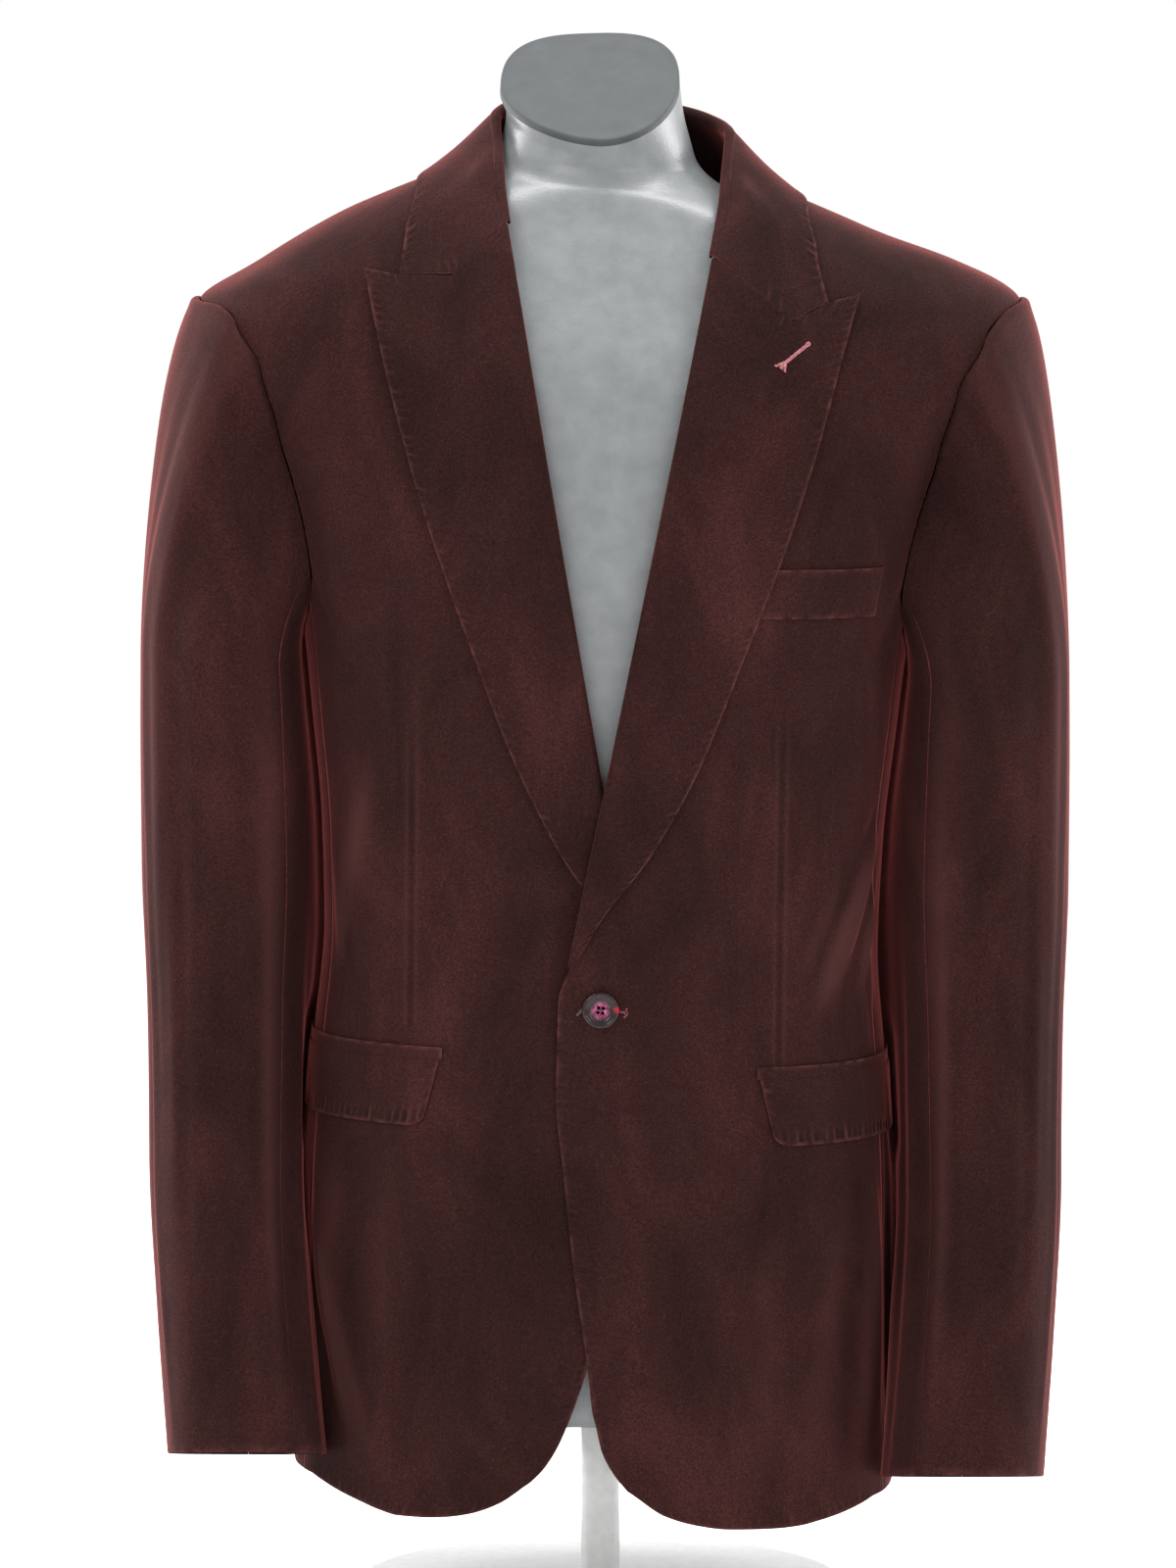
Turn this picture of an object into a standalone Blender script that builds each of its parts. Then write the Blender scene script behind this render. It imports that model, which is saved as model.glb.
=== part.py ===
"""A single-breasted velvet jacket with peaked lapels, buttoned on a limbless dress form.

Every cloth piece is a thin wall. The body panels, lapels and pocket pieces are cut from one body
surface, so that neighbours share their seams and what lies on a panel is that panel moved out.
Sizes are millimetres; MM turns them into Blender's metres. Heights are measured up from the hem.
"Own side" lengths run from the centre line towards the side that the piece belongs to.
"""

import math
from collections import namedtuple

import bmesh
import bpy
import numpy as np
from mathutils import Vector

MM = 0.001

# Driving sizes
HEM_ABOVE_FLOOR = 62.0
CLOTH = 1.8
SEAM_GAP = 0.3
LAID_ON_GAP = 0.5
SQUARENESS = 2.5
SLEEVE_SQUARENESS = 2.3

# How the jacket hangs: its left front is lower, it leans a little to its left and its sleeves sway left.
SIDE_DROP = 6.5
DROP_SPREAD = 70.0
LEAN = 0.0143
LEAN_HEIGHT = 300.0
SLEEVE_SWAY_LEFT = 0.010
SLEEVE_SWAY_RIGHT = 0.020
SWAY_HEIGHT = 480.0

# Seams of the body, as angles round it: 0 is the centre front and 180 the centre back.
FRONT_SIDE_SEAM = 72.0
SIDE_BACK_SEAM = 108.0
SHOULDER_SEAM = 90.0
SHOULDER_POINT = 678.0
NECK_POINT = 748.0
SIDE_HEM = 16.0
# Rows of the fronts crowd towards the hem's rounded corner, and lie behind the button and the break.
FRONT_ROW_HEIGHTS = (26, 34, 47, 66, 95, 140, 195, 245, 291, 320, 376, 438, 500)

# The roll line, where the lapel turns back, is straight from the break to the gorge.
BREAK_HEIGHT = 306.0
BREAK_X = -19.0
GORGE_HEIGHT = 712.0
GORGE_X = 57.0
PANEL_SETBACK = 1.6

LAPEL_WALL = 1.6
LAPEL_GAP = 1.9
COLLAR_ROLL = 2.6
COLLAR_WALL = 1.6
COLLAR_FULLNESS = -0.05
FLAP_WALL = 1.8
JET_WALL = 1.2
WELT_WALL = 1.2

BUTTON_DIAMETER = 20.4
BUTTON_HEIGHT = 291.0
SLEEVE_TOP_RING = 470.0
SLEEVE_CLEARANCE = 3.0
SLEEVE_REAR_CLEARANCE = 1.0
CUFF_SLANT = 10.0
FORM_BOTTOM = 58.0
FORM_SEAT_GAP = 0.7
FORM_SHOULDER_GAP = 3.0
FORM_BODY_GAP = 5.0
FORM_THROAT_GAP = 9.0
FORM_SHOULDER_END = 206.0
POLE_RADIUS = 11.0
BASE_RADIUS = 140.0
BASE_THICKNESS = 10.0

Section = namedtuple("Section", "height half_width front back")
BODY_SECTIONS = (
    Section(-30, 171, 126, 123),
    Section(0, 170, 126, 124),
    Section(60, 169, 126, 126),
    Section(130, 168, 126, 127),
    Section(200, 165, 124, 124),
    Section(260, 161, 121, 117),
    Section(320, 156, 119, 109),
    Section(380, 158, 121, 108),
    Section(440, 164, 126, 114),
    Section(500, 171, 131, 121),
    Section(550, 181, 132.5, 125),
    Section(600, 198, 129, 126),
    Section(635, 221, 121, 122),
    Section(660, 236, 111, 115),
    Section(678, 229, 103, 109),
    Section(700, 193, 92, 99),
    Section(720, 151, 80, 89),
    Section(735, 116, 71, 81),
    Section(748, 83, 62, 73),
    Section(762, 52, 52, 62),
)

# Front edge from the hem's rounded corner up to the break, in own-side x of each front.
FrontEdge = namedtuple("FrontEdge", "height left right")
FRONT_EDGE = (
    FrontEdge(26, 18.5, 34.5),
    FrontEdge(34, 11.5, 27.5),
    FrontEdge(48, 3.8, 19.5),
    FrontEdge(66, -0.8, 12.5),
    FrontEdge(101, -5.5, 2),
    FrontEdge(159, -14.5, -10),
    FrontEdge(224, -21.5, -18),
    FrontEdge(251, -24, -20),
    FrontEdge(284, -24, -20),
)
Hem = namedtuple("Hem", "x left right")
HEM = (
    Hem(18.5, 26, 40),
    Hem(25, 20.8, 34),
    Hem(34.5, 15.4, 26),
    Hem(46, 11.2, 16.2),
    Hem(60, 8.2, 8.6),
    Hem(78, 6.3, 3),
    Hem(105, 6, 1),
    Hem(135, 10, 8),
    Hem(158, 16, 16),
)
Neckline = namedtuple("Neckline", "angle height")
FRONT_NECKLINE = (
    Neckline(15.4, 712),
    Neckline(31, 733),
    Neckline(55, 744),
    Neckline(90, 748),
)
# Where the collar's rows and the panels' rows meet along the neckline.
FRONT_NECK_ANGLES = (26, 40, 58, 74, 90)
BACK_NECK_ANGLES = (90, 105, 120, 135, 150, 165, 180)

# The armhole, by the turn round it: 0 is the shoulder point, 90 the front, 180 the underarm.
Armhole = namedtuple("Armhole", "turn angle height")
ARMHOLE = (
    Armhole(0, 90, 678),
    Armhole(15, 67, 672.5),
    Armhole(30, 57.5, 660),
    Armhole(50, 56.5, 641),
    Armhole(70, 61.5, 615),
    Armhole(90, 66, 585),
    Armhole(112, 66, 552),
    Armhole(135, 67, 523),
    Armhole(158, 75, 497),
    Armhole(180, 90, 486),
    Armhole(202, 105, 497),
    Armhole(225, 112, 523),
    Armhole(248, 115, 552),
    Armhole(270, 117, 588),
    Armhole(292, 121, 620),
    Armhole(312, 124, 645),
    Armhole(330, 121, 661),
    Armhole(345, 112, 672.5),
    Armhole(360, 90, 678),
)
# Panels and sleeves share these steps of turn, so that their edges follow each other.
ARMHOLE_STEP = 12.5
UNDERARM_STEP = 15.0
FRONT_SEAM_TURN = 150.0
BACK_SEAM_TURN = 210.0

SleeveRing = namedtuple("SleeveRing", "height x y half_width half_depth")
SLEEVE_RINGS = (
    SleeveRing(28, 201, -69, 46, 50),
    SleeveRing(112, 207.5, -54, 45.5, 55),
    SleeveRing(193, 212, -25, 46, 61),
    SleeveRing(275, 212, -9, 47, 65),
    SleeveRing(356, 211.5, -4, 50, 69),
    SleeveRing(426, 212.3, -5, 49, 73),
    SleeveRing(470, 213, -8, 47.5, 76),
)
# Seams of the two-piece sleeve, by the turn round it, at its head and at its cuff.
FOREARM_SEAM_TOP = 137.5
FOREARM_SEAM_CUFF = 124.0
ELBOW_SEAM = 272.5

# The under sleeve lies against the body behind its side: where, how wide and how deep.
SNUG_TURN = 228.0
SNUG_HALF_TURN = 31.0
SNUG_DEPTH = 34.0
SNUG_SOFTNESS = 3.6

LapelStation = namedtuple("LapelStation", "roll_height edge_x edge_height")
LAPEL_STATIONS = (
    LapelStation(313, -12, 319),
    LapelStation(330, 1, 343),
    LapelStation(365, 24, 376),
    LapelStation(410, 49, 424),
    LapelStation(460, 72, 482),
    LapelStation(520, 97, 551),
    LapelStation(585, 115, 610),
    LapelStation(650, 127, 655),
    LapelStation(709, 135.5, 687),
)
# The gorge, where lapel and collar meet: from the roll line to the corner and the notch, then the peak.
Gorge = namedtuple("Gorge", "place left_x left_height right_x right_height")
GORGE = (
    Gorge("roll", 55.6, 704.5, 57.4, 714.5),
    Gorge("corner", 99, 671.5, 87, 685),
    Gorge("notch", 119, 682, 116, 685),
    Gorge("peak", 136, 686.5, 134.5, 688),
)

CollarStation = namedtuple("CollarStation", "neck_angle fold_x fold_y fold_height edge_angle edge_height")
COLLAR_STATIONS = (
    CollarStation(31, 61, -60, 737, 32.5, 704),
    CollarStation(55, 63, -30, 757, 45, 724),
    CollarStation(90, 65, 0, 775, 90, 741),
    CollarStation(120, 55, 33, 783, 120, 738),
    CollarStation(150, 33, 56, 788, 150, 735),
    CollarStation(180, 0, 64, 789, 180, 733),
)
FLAP_TOP = 256.0
FLAP_BOTTOM = 219.0
FLAP_FRONT_TOP_X = 88.0
FLAP_FRONT_BOTTOM_X = 94.0
FLAP_CORNER = 9.0
FLAP_BACK_ANGLE = 91.0
JET_TOP = 263.0
WELT_TOP = 538.0
WELT_BOTTOM = 511.0
WELT_INNER_X = 84.0
WELT_OUTER_X = 147.0

# Large soft folds of the fronts and back: along is the direction in degrees, 90 is upright.
Fold = namedtuple("Fold", "angle height along half_length half_width depth")
BODY_FOLDS = (
    Fold(58, 338, 62, 46, 10, 2.4),
    Fold(70, 318, 100, 26, 9, 1.8),
    Fold(63, 104, 86, 72, 13, 2.2),
    Fold(77, 100, 94, 74, 12, -2.4),
    Fold(-63, 104, 94, 72, 13, 2.0),
    Fold(-77, 100, 86, 74, 12, -2.4),
    Fold(-60, 356, 110, 50, 13, 1.4),
    Fold(140, 330, 78, 50, 13, 2.2),
    Fold(-142, 318, 102, 52, 13, 2.2),
)
BODY_FOLD_RADIUS = 140.0

SleeveFold = namedtuple("SleeveFold", "turn half_turn top bottom depth")
SLEEVE_FOLDS = (
    SleeveFold(38, 11, 640, 260, 2.6),
    SleeveFold(62, 12, 600, 330, -1.8),
    SleeveFold(-40, 13, 600, 180, 2.4),
    SleeveFold(-75, 14, 520, 120, -2.2),
    SleeveFold(118, 12, 420, 60, 2.0),
)

FormNeck = namedtuple("FormNeck", "height x half_width front back tilt shield")
FORM_NECK = (
    FormNeck(735, -1.5, 92, 61, 69, 0.0, 0.0),
    FormNeck(741, -3.5, 75, 57, 62, 0.02, 0.0),
    FormNeck(748, -6.5, 63, 54.5, 58, 0.06, 0.0),
    FormNeck(757, -8.5, 56, 53.5, 55, 0.14, 0.0),
    FormNeck(768, -8.5, 52, 54, 54, 0.27, 0.1),
    FormNeck(780, -10.0, 49.5, 55, 54, 0.42, 0.45),
    FormNeck(793, -13, 50, 57, 55, 0.54, 1.0),
)
# The neck's top is a shield: flat behind, blunt in front, with its tip to the left and level.
SHIELD_BACK_SQUARENESS = 2.9
SHIELD_FRONT_SQUARENESS = 1.75
SHIELD_TIP_X = 8.0
SHIELD_RISE = 0.03
CAP_THICKNESS = 4.0

VELVET = ("burgundy_velvet", (0.040, 0.013, 0.012), 0.85, 0.0)
BUTTON_RESIN = ("wine_resin_button", (0.055, 0.010, 0.016), 0.22, 0.0)
FORM_SKIN = ("charcoal_form", (0.075, 0.080, 0.083), 0.45, 0.0)
CAP_FACE = ("charcoal_cap", (0.125, 0.135, 0.138), 0.70, 0.0)
POLE_STEEL = ("white_enamelled_steel", (0.80, 0.80, 0.80), 0.35, 0.0)


def smooth_curve(positions, values):
    """A function through the given values that is smooth and never overshoots them."""
    xs = np.asarray(positions, float)
    ys = np.asarray(values, float)
    steps = np.diff(ys) / np.diff(xs)
    slopes = np.zeros_like(ys)
    slopes[0], slopes[-1] = steps[0], steps[-1]
    before, after = steps[:-1], steps[1:]
    same = before * after > 0
    slopes[1:-1][same] = 2 * before[same] * after[same] / (before[same] + after[same])

    def value(x):
        x = np.clip(np.asarray(x, float), xs[0], xs[-1])
        i = np.clip(np.searchsorted(xs, x, side="right") - 1, 0, len(xs) - 2)
        width = xs[i + 1] - xs[i]
        t = (x - xs[i]) / width
        start = (1 + 2 * t) * (1 - t) ** 2 * ys[i] + t * (1 - t) ** 2 * width * slopes[i]
        end = t * t * (3 - 2 * t) * ys[i + 1] + t * t * (t - 1) * width * slopes[i + 1]
        return start + end

    return value


def column(table, key, value):
    """One column of a table as a smooth function of another."""
    return smooth_curve([getattr(row, key) for row in table], [getattr(row, value) for row in table])


half_width_at = column(BODY_SECTIONS, "height", "half_width")
front_at = column(BODY_SECTIONS, "height", "front")
back_at = column(BODY_SECTIONS, "height", "back")
armhole_angle_at = column(ARMHOLE, "turn", "angle")
armhole_height_at = column(ARMHOLE, "turn", "height")
neckline_height_at = column(FRONT_NECKLINE, "angle", "height")


def smoothstep(low, high, x):
    t = np.clip((np.asarray(x, float) - low) / (high - low), 0, 1)
    return t * t * (3 - 2 * t)


def rounded(value, squareness):
    """A sine or cosine bent towards the corners of a square."""
    return np.sign(value) * np.abs(value) ** (2 / squareness)


def points(x, y, z):
    return np.stack(np.broadcast_arrays(x, y, z), axis=-1).astype(float)


def unit(vectors):
    return vectors / np.linalg.norm(vectors, axis=-1, keepdims=True)


def body_ring(angle, height):
    """The smooth body surface, before its folds."""
    turn = np.radians(angle)
    sine, cosine = np.sin(turn), np.cos(turn)
    depth = np.where(cosine > 0, -front_at(height), back_at(height))
    x = half_width_at(height) * rounded(sine, SQUARENESS)
    return points(x, depth * np.abs(rounded(cosine, SQUARENESS)), height)


def body_normal(angle, height):
    turn_step, height_step = 0.4, 0.6
    across = body_ring(angle + turn_step, height) - body_ring(angle - turn_step, height)
    up = body_ring(angle, height + height_step) - body_ring(angle, height - height_step)
    return unit(np.cross(across, up))


def body_folds(angle, height):
    """How far the large folds stand out of the smooth surface."""
    total = np.zeros(np.broadcast(angle, height).shape)
    for fold in BODY_FOLDS:
        along = math.radians(fold.along)
        side = math.copysign(1, fold.angle)
        across_mm = np.radians(angle - fold.angle) * BODY_FOLD_RADIUS * side
        up_mm = height - fold.height
        lengthwise = across_mm * math.cos(along) + up_mm * math.sin(along)
        sidewise = -across_mm * math.sin(along) + up_mm * math.cos(along)
        total = total + fold.depth * np.exp(
            -((lengthwise / fold.half_length) ** 4) - (sidewise / fold.half_width) ** 2
        )
    return total


def body_point(angle, height, out):
    """A point of the jacket's body, moved out from its outer face."""
    angle, height = np.broadcast_arrays(np.asarray(angle, float), np.asarray(height, float))
    reach = np.asarray(out + body_folds(angle, height))[..., None]
    return body_ring(angle, height) + body_normal(angle, height) * reach


def angle_at(x, height):
    """The angle round the body of a point on its front half, from how far out it lies."""
    share = np.clip(np.abs(x) / half_width_at(height), 0, 1)
    return np.sign(x) * np.degrees(np.arcsin(share ** (SQUARENESS / 2)))


def seam_shift(angle, height, distance):
    """How far to turn from an angle, towards smaller angles, to move that distance."""
    low, high = 0.0, 3.0
    start = body_ring(angle, height)
    for _ in range(30):
        middle = (low + high) / 2
        if np.linalg.norm(body_ring(angle - middle, height) - start) < distance:
            low = middle
        else:
            high = middle
    return high


def overlap_lift(x, height):
    """How far the left front stands out where it laps over the right front and its lapel."""
    over_front = 2.5 * (1 - smoothstep(430, 560, height))
    over_lapel = 4.2 * smoothstep(258, 300, height) * (1 - smoothstep(420, 500, height))
    return (over_front + over_lapel) * (1 - smoothstep(24, 95, x))


def hang(where):
    """From the jacket's own upright frame to the way it hangs above the floor."""
    x, y, height = where[..., 0], where[..., 1], where[..., 2]
    on_shoulder = smoothstep(600, 690, height) * smoothstep(-85, -30, y) * smoothstep(140, 215, np.abs(x))
    z = height - SIDE_DROP * (1 - on_shoulder) * np.tanh(x / DROP_SPREAD) + HEM_ABOVE_FLOOR
    return points(x + LEAN * (height - LEAN_HEIGHT), y, z)


def mirrored(where, side):
    """Own-side points on the side that the piece belongs to: 1 is the left, -1 the right."""
    return where * np.array([side, 1.0, 1.0])


# Blender objects


def clear_scene():
    for obj in list(bpy.data.objects):
        bpy.data.objects.remove(obj, do_unlink=True)


def make_material(finish):
    name, colour, roughness, metallic = finish
    material = bpy.data.materials.get(name) or bpy.data.materials.new(name)
    material.use_nodes = True
    shader = material.node_tree.nodes["Principled BSDF"]
    shader.inputs["Base Color"].default_value = (*colour, 1)
    shader.inputs["Roughness"].default_value = roughness
    shader.inputs["Metallic"].default_value = metallic
    material.diffuse_color = (*colour, 1)
    return material


def add_mesh(name, mesh_builder, finish):
    """A named object of the part from a bmesh, its faces turned outwards."""
    bmesh.ops.recalc_face_normals(mesh_builder, faces=mesh_builder.faces)
    mesh = bpy.data.meshes.new(name)
    mesh_builder.to_mesh(mesh)
    mesh_builder.free()
    mesh.materials.append(make_material(finish))
    mesh.shade_smooth()
    mesh.set_sharp_from_angle(angle=math.radians(40))
    obj = bpy.data.objects.new(name, mesh)
    bpy.data.collections["velvet_jacket"].objects.link(obj)
    obj.parent = bpy.data.objects["jacket_on_form"]
    return obj


def add_wall(name, outer, inner, finish):
    """A cloth wall between two grids of points that have the same rows and columns."""
    builder = bmesh.new()
    rows, columns = outer.shape[:2]
    faces = [[[builder.verts.new(p * MM) for p in row] for row in hang(grid)] for grid in (outer, inner)]
    for grid in faces:
        for i in range(rows - 1):
            for j in range(columns - 1):
                builder.faces.new((grid[i][j], grid[i][j + 1], grid[i + 1][j + 1], grid[i + 1][j]))
    border = [(i, 0) for i in range(rows)] + [(rows - 1, j) for j in range(1, columns)]
    border += [(i, columns - 1) for i in range(rows - 2, -1, -1)]
    border += [(0, j) for j in range(columns - 2, 0, -1)]
    for (i, j), (k, m) in zip(border, border[1:] + border[:1]):
        builder.faces.new((faces[0][i][j], faces[0][k][m], faces[1][k][m], faces[1][i][j]))
    return add_mesh(name, builder, finish)


def add_loft(name, rings, finish):
    """A closed solid through rings of points, with a flat face at each end."""
    builder = bmesh.new()
    loops = [[builder.verts.new(p * MM) for p in ring] for ring in rings]
    count = len(loops[0])
    for lower, upper in zip(loops, loops[1:]):
        for j in range(count):
            after = (j + 1) % count
            builder.faces.new((lower[j], lower[after], upper[after], upper[j]))
    builder.faces.new(loops[0])
    builder.faces.new(loops[-1])
    return add_mesh(name, builder, finish)


# Body panels


def front_edge_x(height, side):
    """Own-side x of a front's free edge and, above the break, of its cut edge under the lapel."""
    heights = [row.height for row in FRONT_EDGE]
    edge = [row.left if side > 0 else row.right for row in FRONT_EDGE]
    slope = (GORGE_X - BREAK_X) / (GORGE_HEIGHT - BREAK_HEIGHT)
    for roll_height in (BREAK_HEIGHT + 6, 360, 440, 520, 600, GORGE_HEIGHT):
        heights.append(roll_height)
        edge.append(BREAK_X + slope * (roll_height - BREAK_HEIGHT) + PANEL_SETBACK)
    return smooth_curve(heights, edge)(height)


def armhole_edge(turn):
    return armhole_angle_at(turn), armhole_height_at(turn)


def front_grid(side):
    """Angles and heights of a front's points, in its own-side frame: rows rise, columns run to the side."""
    lower_rows, columns = len(FRONT_ROW_HEIGHTS), 12
    upper_rows = round(FRONT_SEAM_TURN / ARMHOLE_STEP)
    inner_height = np.array(FRONT_ROW_HEIGHTS, float)
    corner, split = inner_height[0], inner_height[-1]
    rise = (inner_height - corner) / (split - corner)
    inner_angle = angle_at(front_edge_x(inner_height, side), inner_height)
    seam = FRONT_SIDE_SEAM - seam_shift(FRONT_SIDE_SEAM, 250, SEAM_GAP / 2)
    seam_top = armhole_edge(FRONT_SEAM_TURN)[1]
    outer_height = SIDE_HEM + (seam_top - SIDE_HEM) * rise
    outer_angle = np.full(lower_rows, seam)

    neck_angle = np.array(FRONT_NECK_ANGLES, float)
    gorge_start = gorge_points(side)[0, 1]
    lapel_rows = upper_rows - len(neck_angle)
    lapel_height = split + (gorge_start - split) * np.linspace(0, 1, lapel_rows + 1)[1:]
    lapel_angle = angle_at(front_edge_x(lapel_height, side), lapel_height)
    upper_angle = np.concatenate([lapel_angle, neck_angle])
    upper_height = np.concatenate([lapel_height, neckline_height_at(neck_angle)])
    climb = np.arange(1, upper_rows + 1) / upper_rows
    hole_angle, hole_height = armhole_edge(FRONT_SEAM_TURN * (1 - climb))

    inner_angle = np.concatenate([inner_angle, upper_angle])
    inner_height = np.concatenate([inner_height, upper_height])
    outer_angle = np.concatenate([outer_angle, np.minimum(hole_angle, SHOULDER_SEAM)])
    outer_height = np.concatenate([outer_height, hole_height])
    across = np.linspace(0, 1, columns + 1)[None, :]
    angle = inner_angle[:, None] * (1 - across) + outer_angle[:, None] * across
    height = inner_height[:, None] * (1 - across) + outer_height[:, None] * across

    hem_x = half_width_at(corner) * rounded(np.sin(np.radians(angle[0])), SQUARENESS)
    hem = smooth_curve([row.x for row in HEM], [row.left if side > 0 else row.right for row in HEM])
    sag = hem(hem_x) - height[0]
    sag[0] = 0.0
    fade = np.concatenate([(1 - rise) ** 2, np.zeros(upper_rows)])
    height = height + fade[:, None] * sag[None, :]
    angle[-1] = SHOULDER_SEAM - seam_shift(SHOULDER_SEAM, 712, SEAM_GAP / 2)
    return angle, height


def make_front(name, side):
    angle, height = front_grid(side)
    x = half_width_at(height) * rounded(np.sin(np.radians(angle)), SQUARENESS)
    lift = overlap_lift(x, height) if side > 0 else np.zeros_like(x)
    outer = body_point(angle * side, height, lift)
    inner = body_point(angle * side, height, lift - CLOTH)
    return add_wall(name, outer, inner, VELVET)


def make_side(name, side):
    """The underarm panel, from the hem up to the lowest part of the armhole."""
    rows = 15
    columns = round((BACK_SEAM_TURN - FRONT_SEAM_TURN) / UNDERARM_STEP)
    front_turn, back_turn = FRONT_SEAM_TURN, BACK_SEAM_TURN
    shift = seam_shift(FRONT_SIDE_SEAM, 250, SEAM_GAP / 2)
    across = np.linspace(0, 1, columns + 1)
    seam_angle = FRONT_SIDE_SEAM + shift + (SIDE_BACK_SEAM - FRONT_SIDE_SEAM - 2 * shift) * across
    top_angle, top_height = armhole_edge(front_turn + (back_turn - front_turn) * across)
    rise = np.linspace(0, 1, rows + 1)[:, None]
    blend = smoothstep(0.8, 1.0, rise)
    top_angle = np.clip(top_angle, seam_angle[0], seam_angle[-1])
    angle = seam_angle[None, :] * (1 - blend) + top_angle[None, :] * blend
    height = SIDE_HEM + (top_height[None, :] - SIDE_HEM) * rise
    outer = body_point(angle * side, height, 0.0)
    inner = body_point(angle * side, height, -CLOTH)
    return add_wall(name, outer, inner, VELVET)


def back_grid():
    """Angles and heights of half the back: columns run from the side seam to the centre seam."""
    lower_rows, shoulder_columns = 9, 5
    upper_rows = round((360 - BACK_SEAM_TURN) / ARMHOLE_STEP)
    columns = shoulder_columns + len(BACK_NECK_ANGLES) - 1
    rise = np.linspace(0, 1, lower_rows)
    climb = np.arange(1, upper_rows + 1) / upper_rows
    seam = SIDE_BACK_SEAM + seam_shift(SIDE_BACK_SEAM, 250, SEAM_GAP / 2)
    seam_top = armhole_edge(BACK_SEAM_TURN)[1]
    hole_angle, hole_height = armhole_edge(BACK_SEAM_TURN + (360 - BACK_SEAM_TURN) * climb)
    outer_angle = np.concatenate([np.full(lower_rows, seam), np.maximum(hole_angle, SHOULDER_SEAM)])
    outer_height = np.concatenate([SIDE_HEM + (seam_top - SIDE_HEM) * rise, hole_height])
    centre_height = np.concatenate(
        [SIDE_HEM + (seam_top - SIDE_HEM) * rise, seam_top + (NECK_POINT - seam_top) * climb]
    )
    centre_angle = 180 - seam_shift(180, 250, SEAM_GAP / 2)
    across = np.linspace(0, 1, columns + 1)[None, :]
    angle = outer_angle[:, None] * (1 - across) + centre_angle * across
    height = outer_height[:, None] * (1 - across) + centre_height[:, None] * across

    seam_angle = SHOULDER_SEAM + seam_shift(SHOULDER_SEAM, 712, SEAM_GAP / 2)
    top_angle = np.concatenate([np.full(shoulder_columns, seam_angle), BACK_NECK_ANGLES])
    top_angle[shoulder_columns], top_angle[-1] = seam_angle, centre_angle
    climb_seam = np.linspace(SHOULDER_POINT, NECK_POINT, shoulder_columns + 1)
    top_height = np.concatenate([climb_seam, np.full(len(BACK_NECK_ANGLES) - 1, NECK_POINT)])
    fade = np.concatenate([np.zeros(lower_rows), climb**2])[:, None]
    angle = angle + fade * (top_angle - angle[-1])[None, :]
    height = height + fade * (top_height - height[-1])[None, :]
    return angle, height


def make_back(name, side):
    angle, height = back_grid()
    outer = body_point(angle * side, height, 0.0)
    inner = body_point(angle * side, height, -CLOTH)
    return add_wall(name, outer, inner, VELVET)


# Lapels and collar


def roll_x(height):
    return BREAK_X + (GORGE_X - BREAK_X) * (height - BREAK_HEIGHT) / (GORGE_HEIGHT - BREAK_HEIGHT)


def turned_profile(width, roll, centre, edge_out, turns, leaf_shares):
    """A turned-back edge in section: along the cloth and out from it, with the normal at each point."""
    turns = np.radians(np.asarray(turns, float))
    along = [roll + roll * math.cos(t) for t in turns]
    out = [centre + roll * math.sin(t) for t in turns]
    normal = [(math.cos(t), math.sin(t)) for t in turns]
    crest = centre + roll
    for share in leaf_shares:
        along.append(max(width * share, roll))
        out.append(edge_out + (crest - edge_out) * (1 - share) ** 1.5)
        normal.append((0.0, 1.0))
    return np.array(along), np.array(out), np.array(normal)


LAPEL_TURNS = (205, 165, 128, 90)


def gorge_points(side):
    """The gorge's corner points in own-side x and height."""
    if side > 0:
        return np.array([(g.left_x, g.left_height) for g in GORGE], float)
    return np.array([(g.right_x, g.right_height) for g in GORGE], float)


def leaf_shares(side, last):
    """Shares of a leaf's width with a column at each corner of the gorge, up to its last corner."""
    gorge = gorge_points(side)
    places = (gorge[:, 0] - gorge[0, 0]) / (gorge[last, 0] - gorge[0, 0])
    shares = []
    for low, high, count in ((places[0], places[1], 4), (places[1], places[2], 2), (places[2], places[3], 2)):
        shares += [low + (high - low) * (k + 1) / count for k in range(count)]
    return np.array(shares[: 6 if last == 2 else 8])


def lapel_row(share, side):
    """Roll point, outer edge point, roll radius and roll centre of a lapel at a share of its length."""
    gorge = gorge_points(side)
    places = np.linspace(0, 1, len(LAPEL_STATIONS))
    last = len(LAPEL_STATIONS) - 1
    heights = [s.roll_height for s in LAPEL_STATIONS[:last]] + [gorge[0, 1] - SEAM_GAP]
    edge_xs = [s.edge_x for s in LAPEL_STATIONS[:last]] + [gorge[3, 0]]
    edge_heights = [s.edge_height for s in LAPEL_STATIONS[:last]] + [gorge[3, 1]]
    roll_height = smooth_curve(places, heights)(share)
    start = np.array([roll_x(roll_height), roll_height])
    end = np.array([smooth_curve(places, edge_xs)(share), smooth_curve(places, edge_heights)(share)])
    grown = float(smoothstep(0.08, 0.5, share))
    return start, end, 1.2 + 2.0 * grown, 0.6 + 0.4 * grown


def turned_points(start, end, profile, dip, wall, side):
    """The outer and inner points of one row of a lapel or collar end, on the body's front.

    dip gives, over shares of the row's width, how far the row departs in height from a straight line.
    """
    along, out, normal = profile
    width = np.linalg.norm(end - start)
    direction = (end - start) / width
    rows = []
    for face in (0.5, -0.5):
        reach = along + normal[:, 0] * wall * face
        flat = start[None, :] + direction[None, :] * reach[:, None]
        x, height = flat[:, 0], flat[:, 1] + np.interp(reach / width, dip[0], dip[1])
        lift = overlap_lift(x, height) if side > 0 else 0.0
        where = body_point(angle_at(x, height) * side, height, out + normal[:, 1] * wall * face + lift)
        rows.append(where)
    return rows


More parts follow.
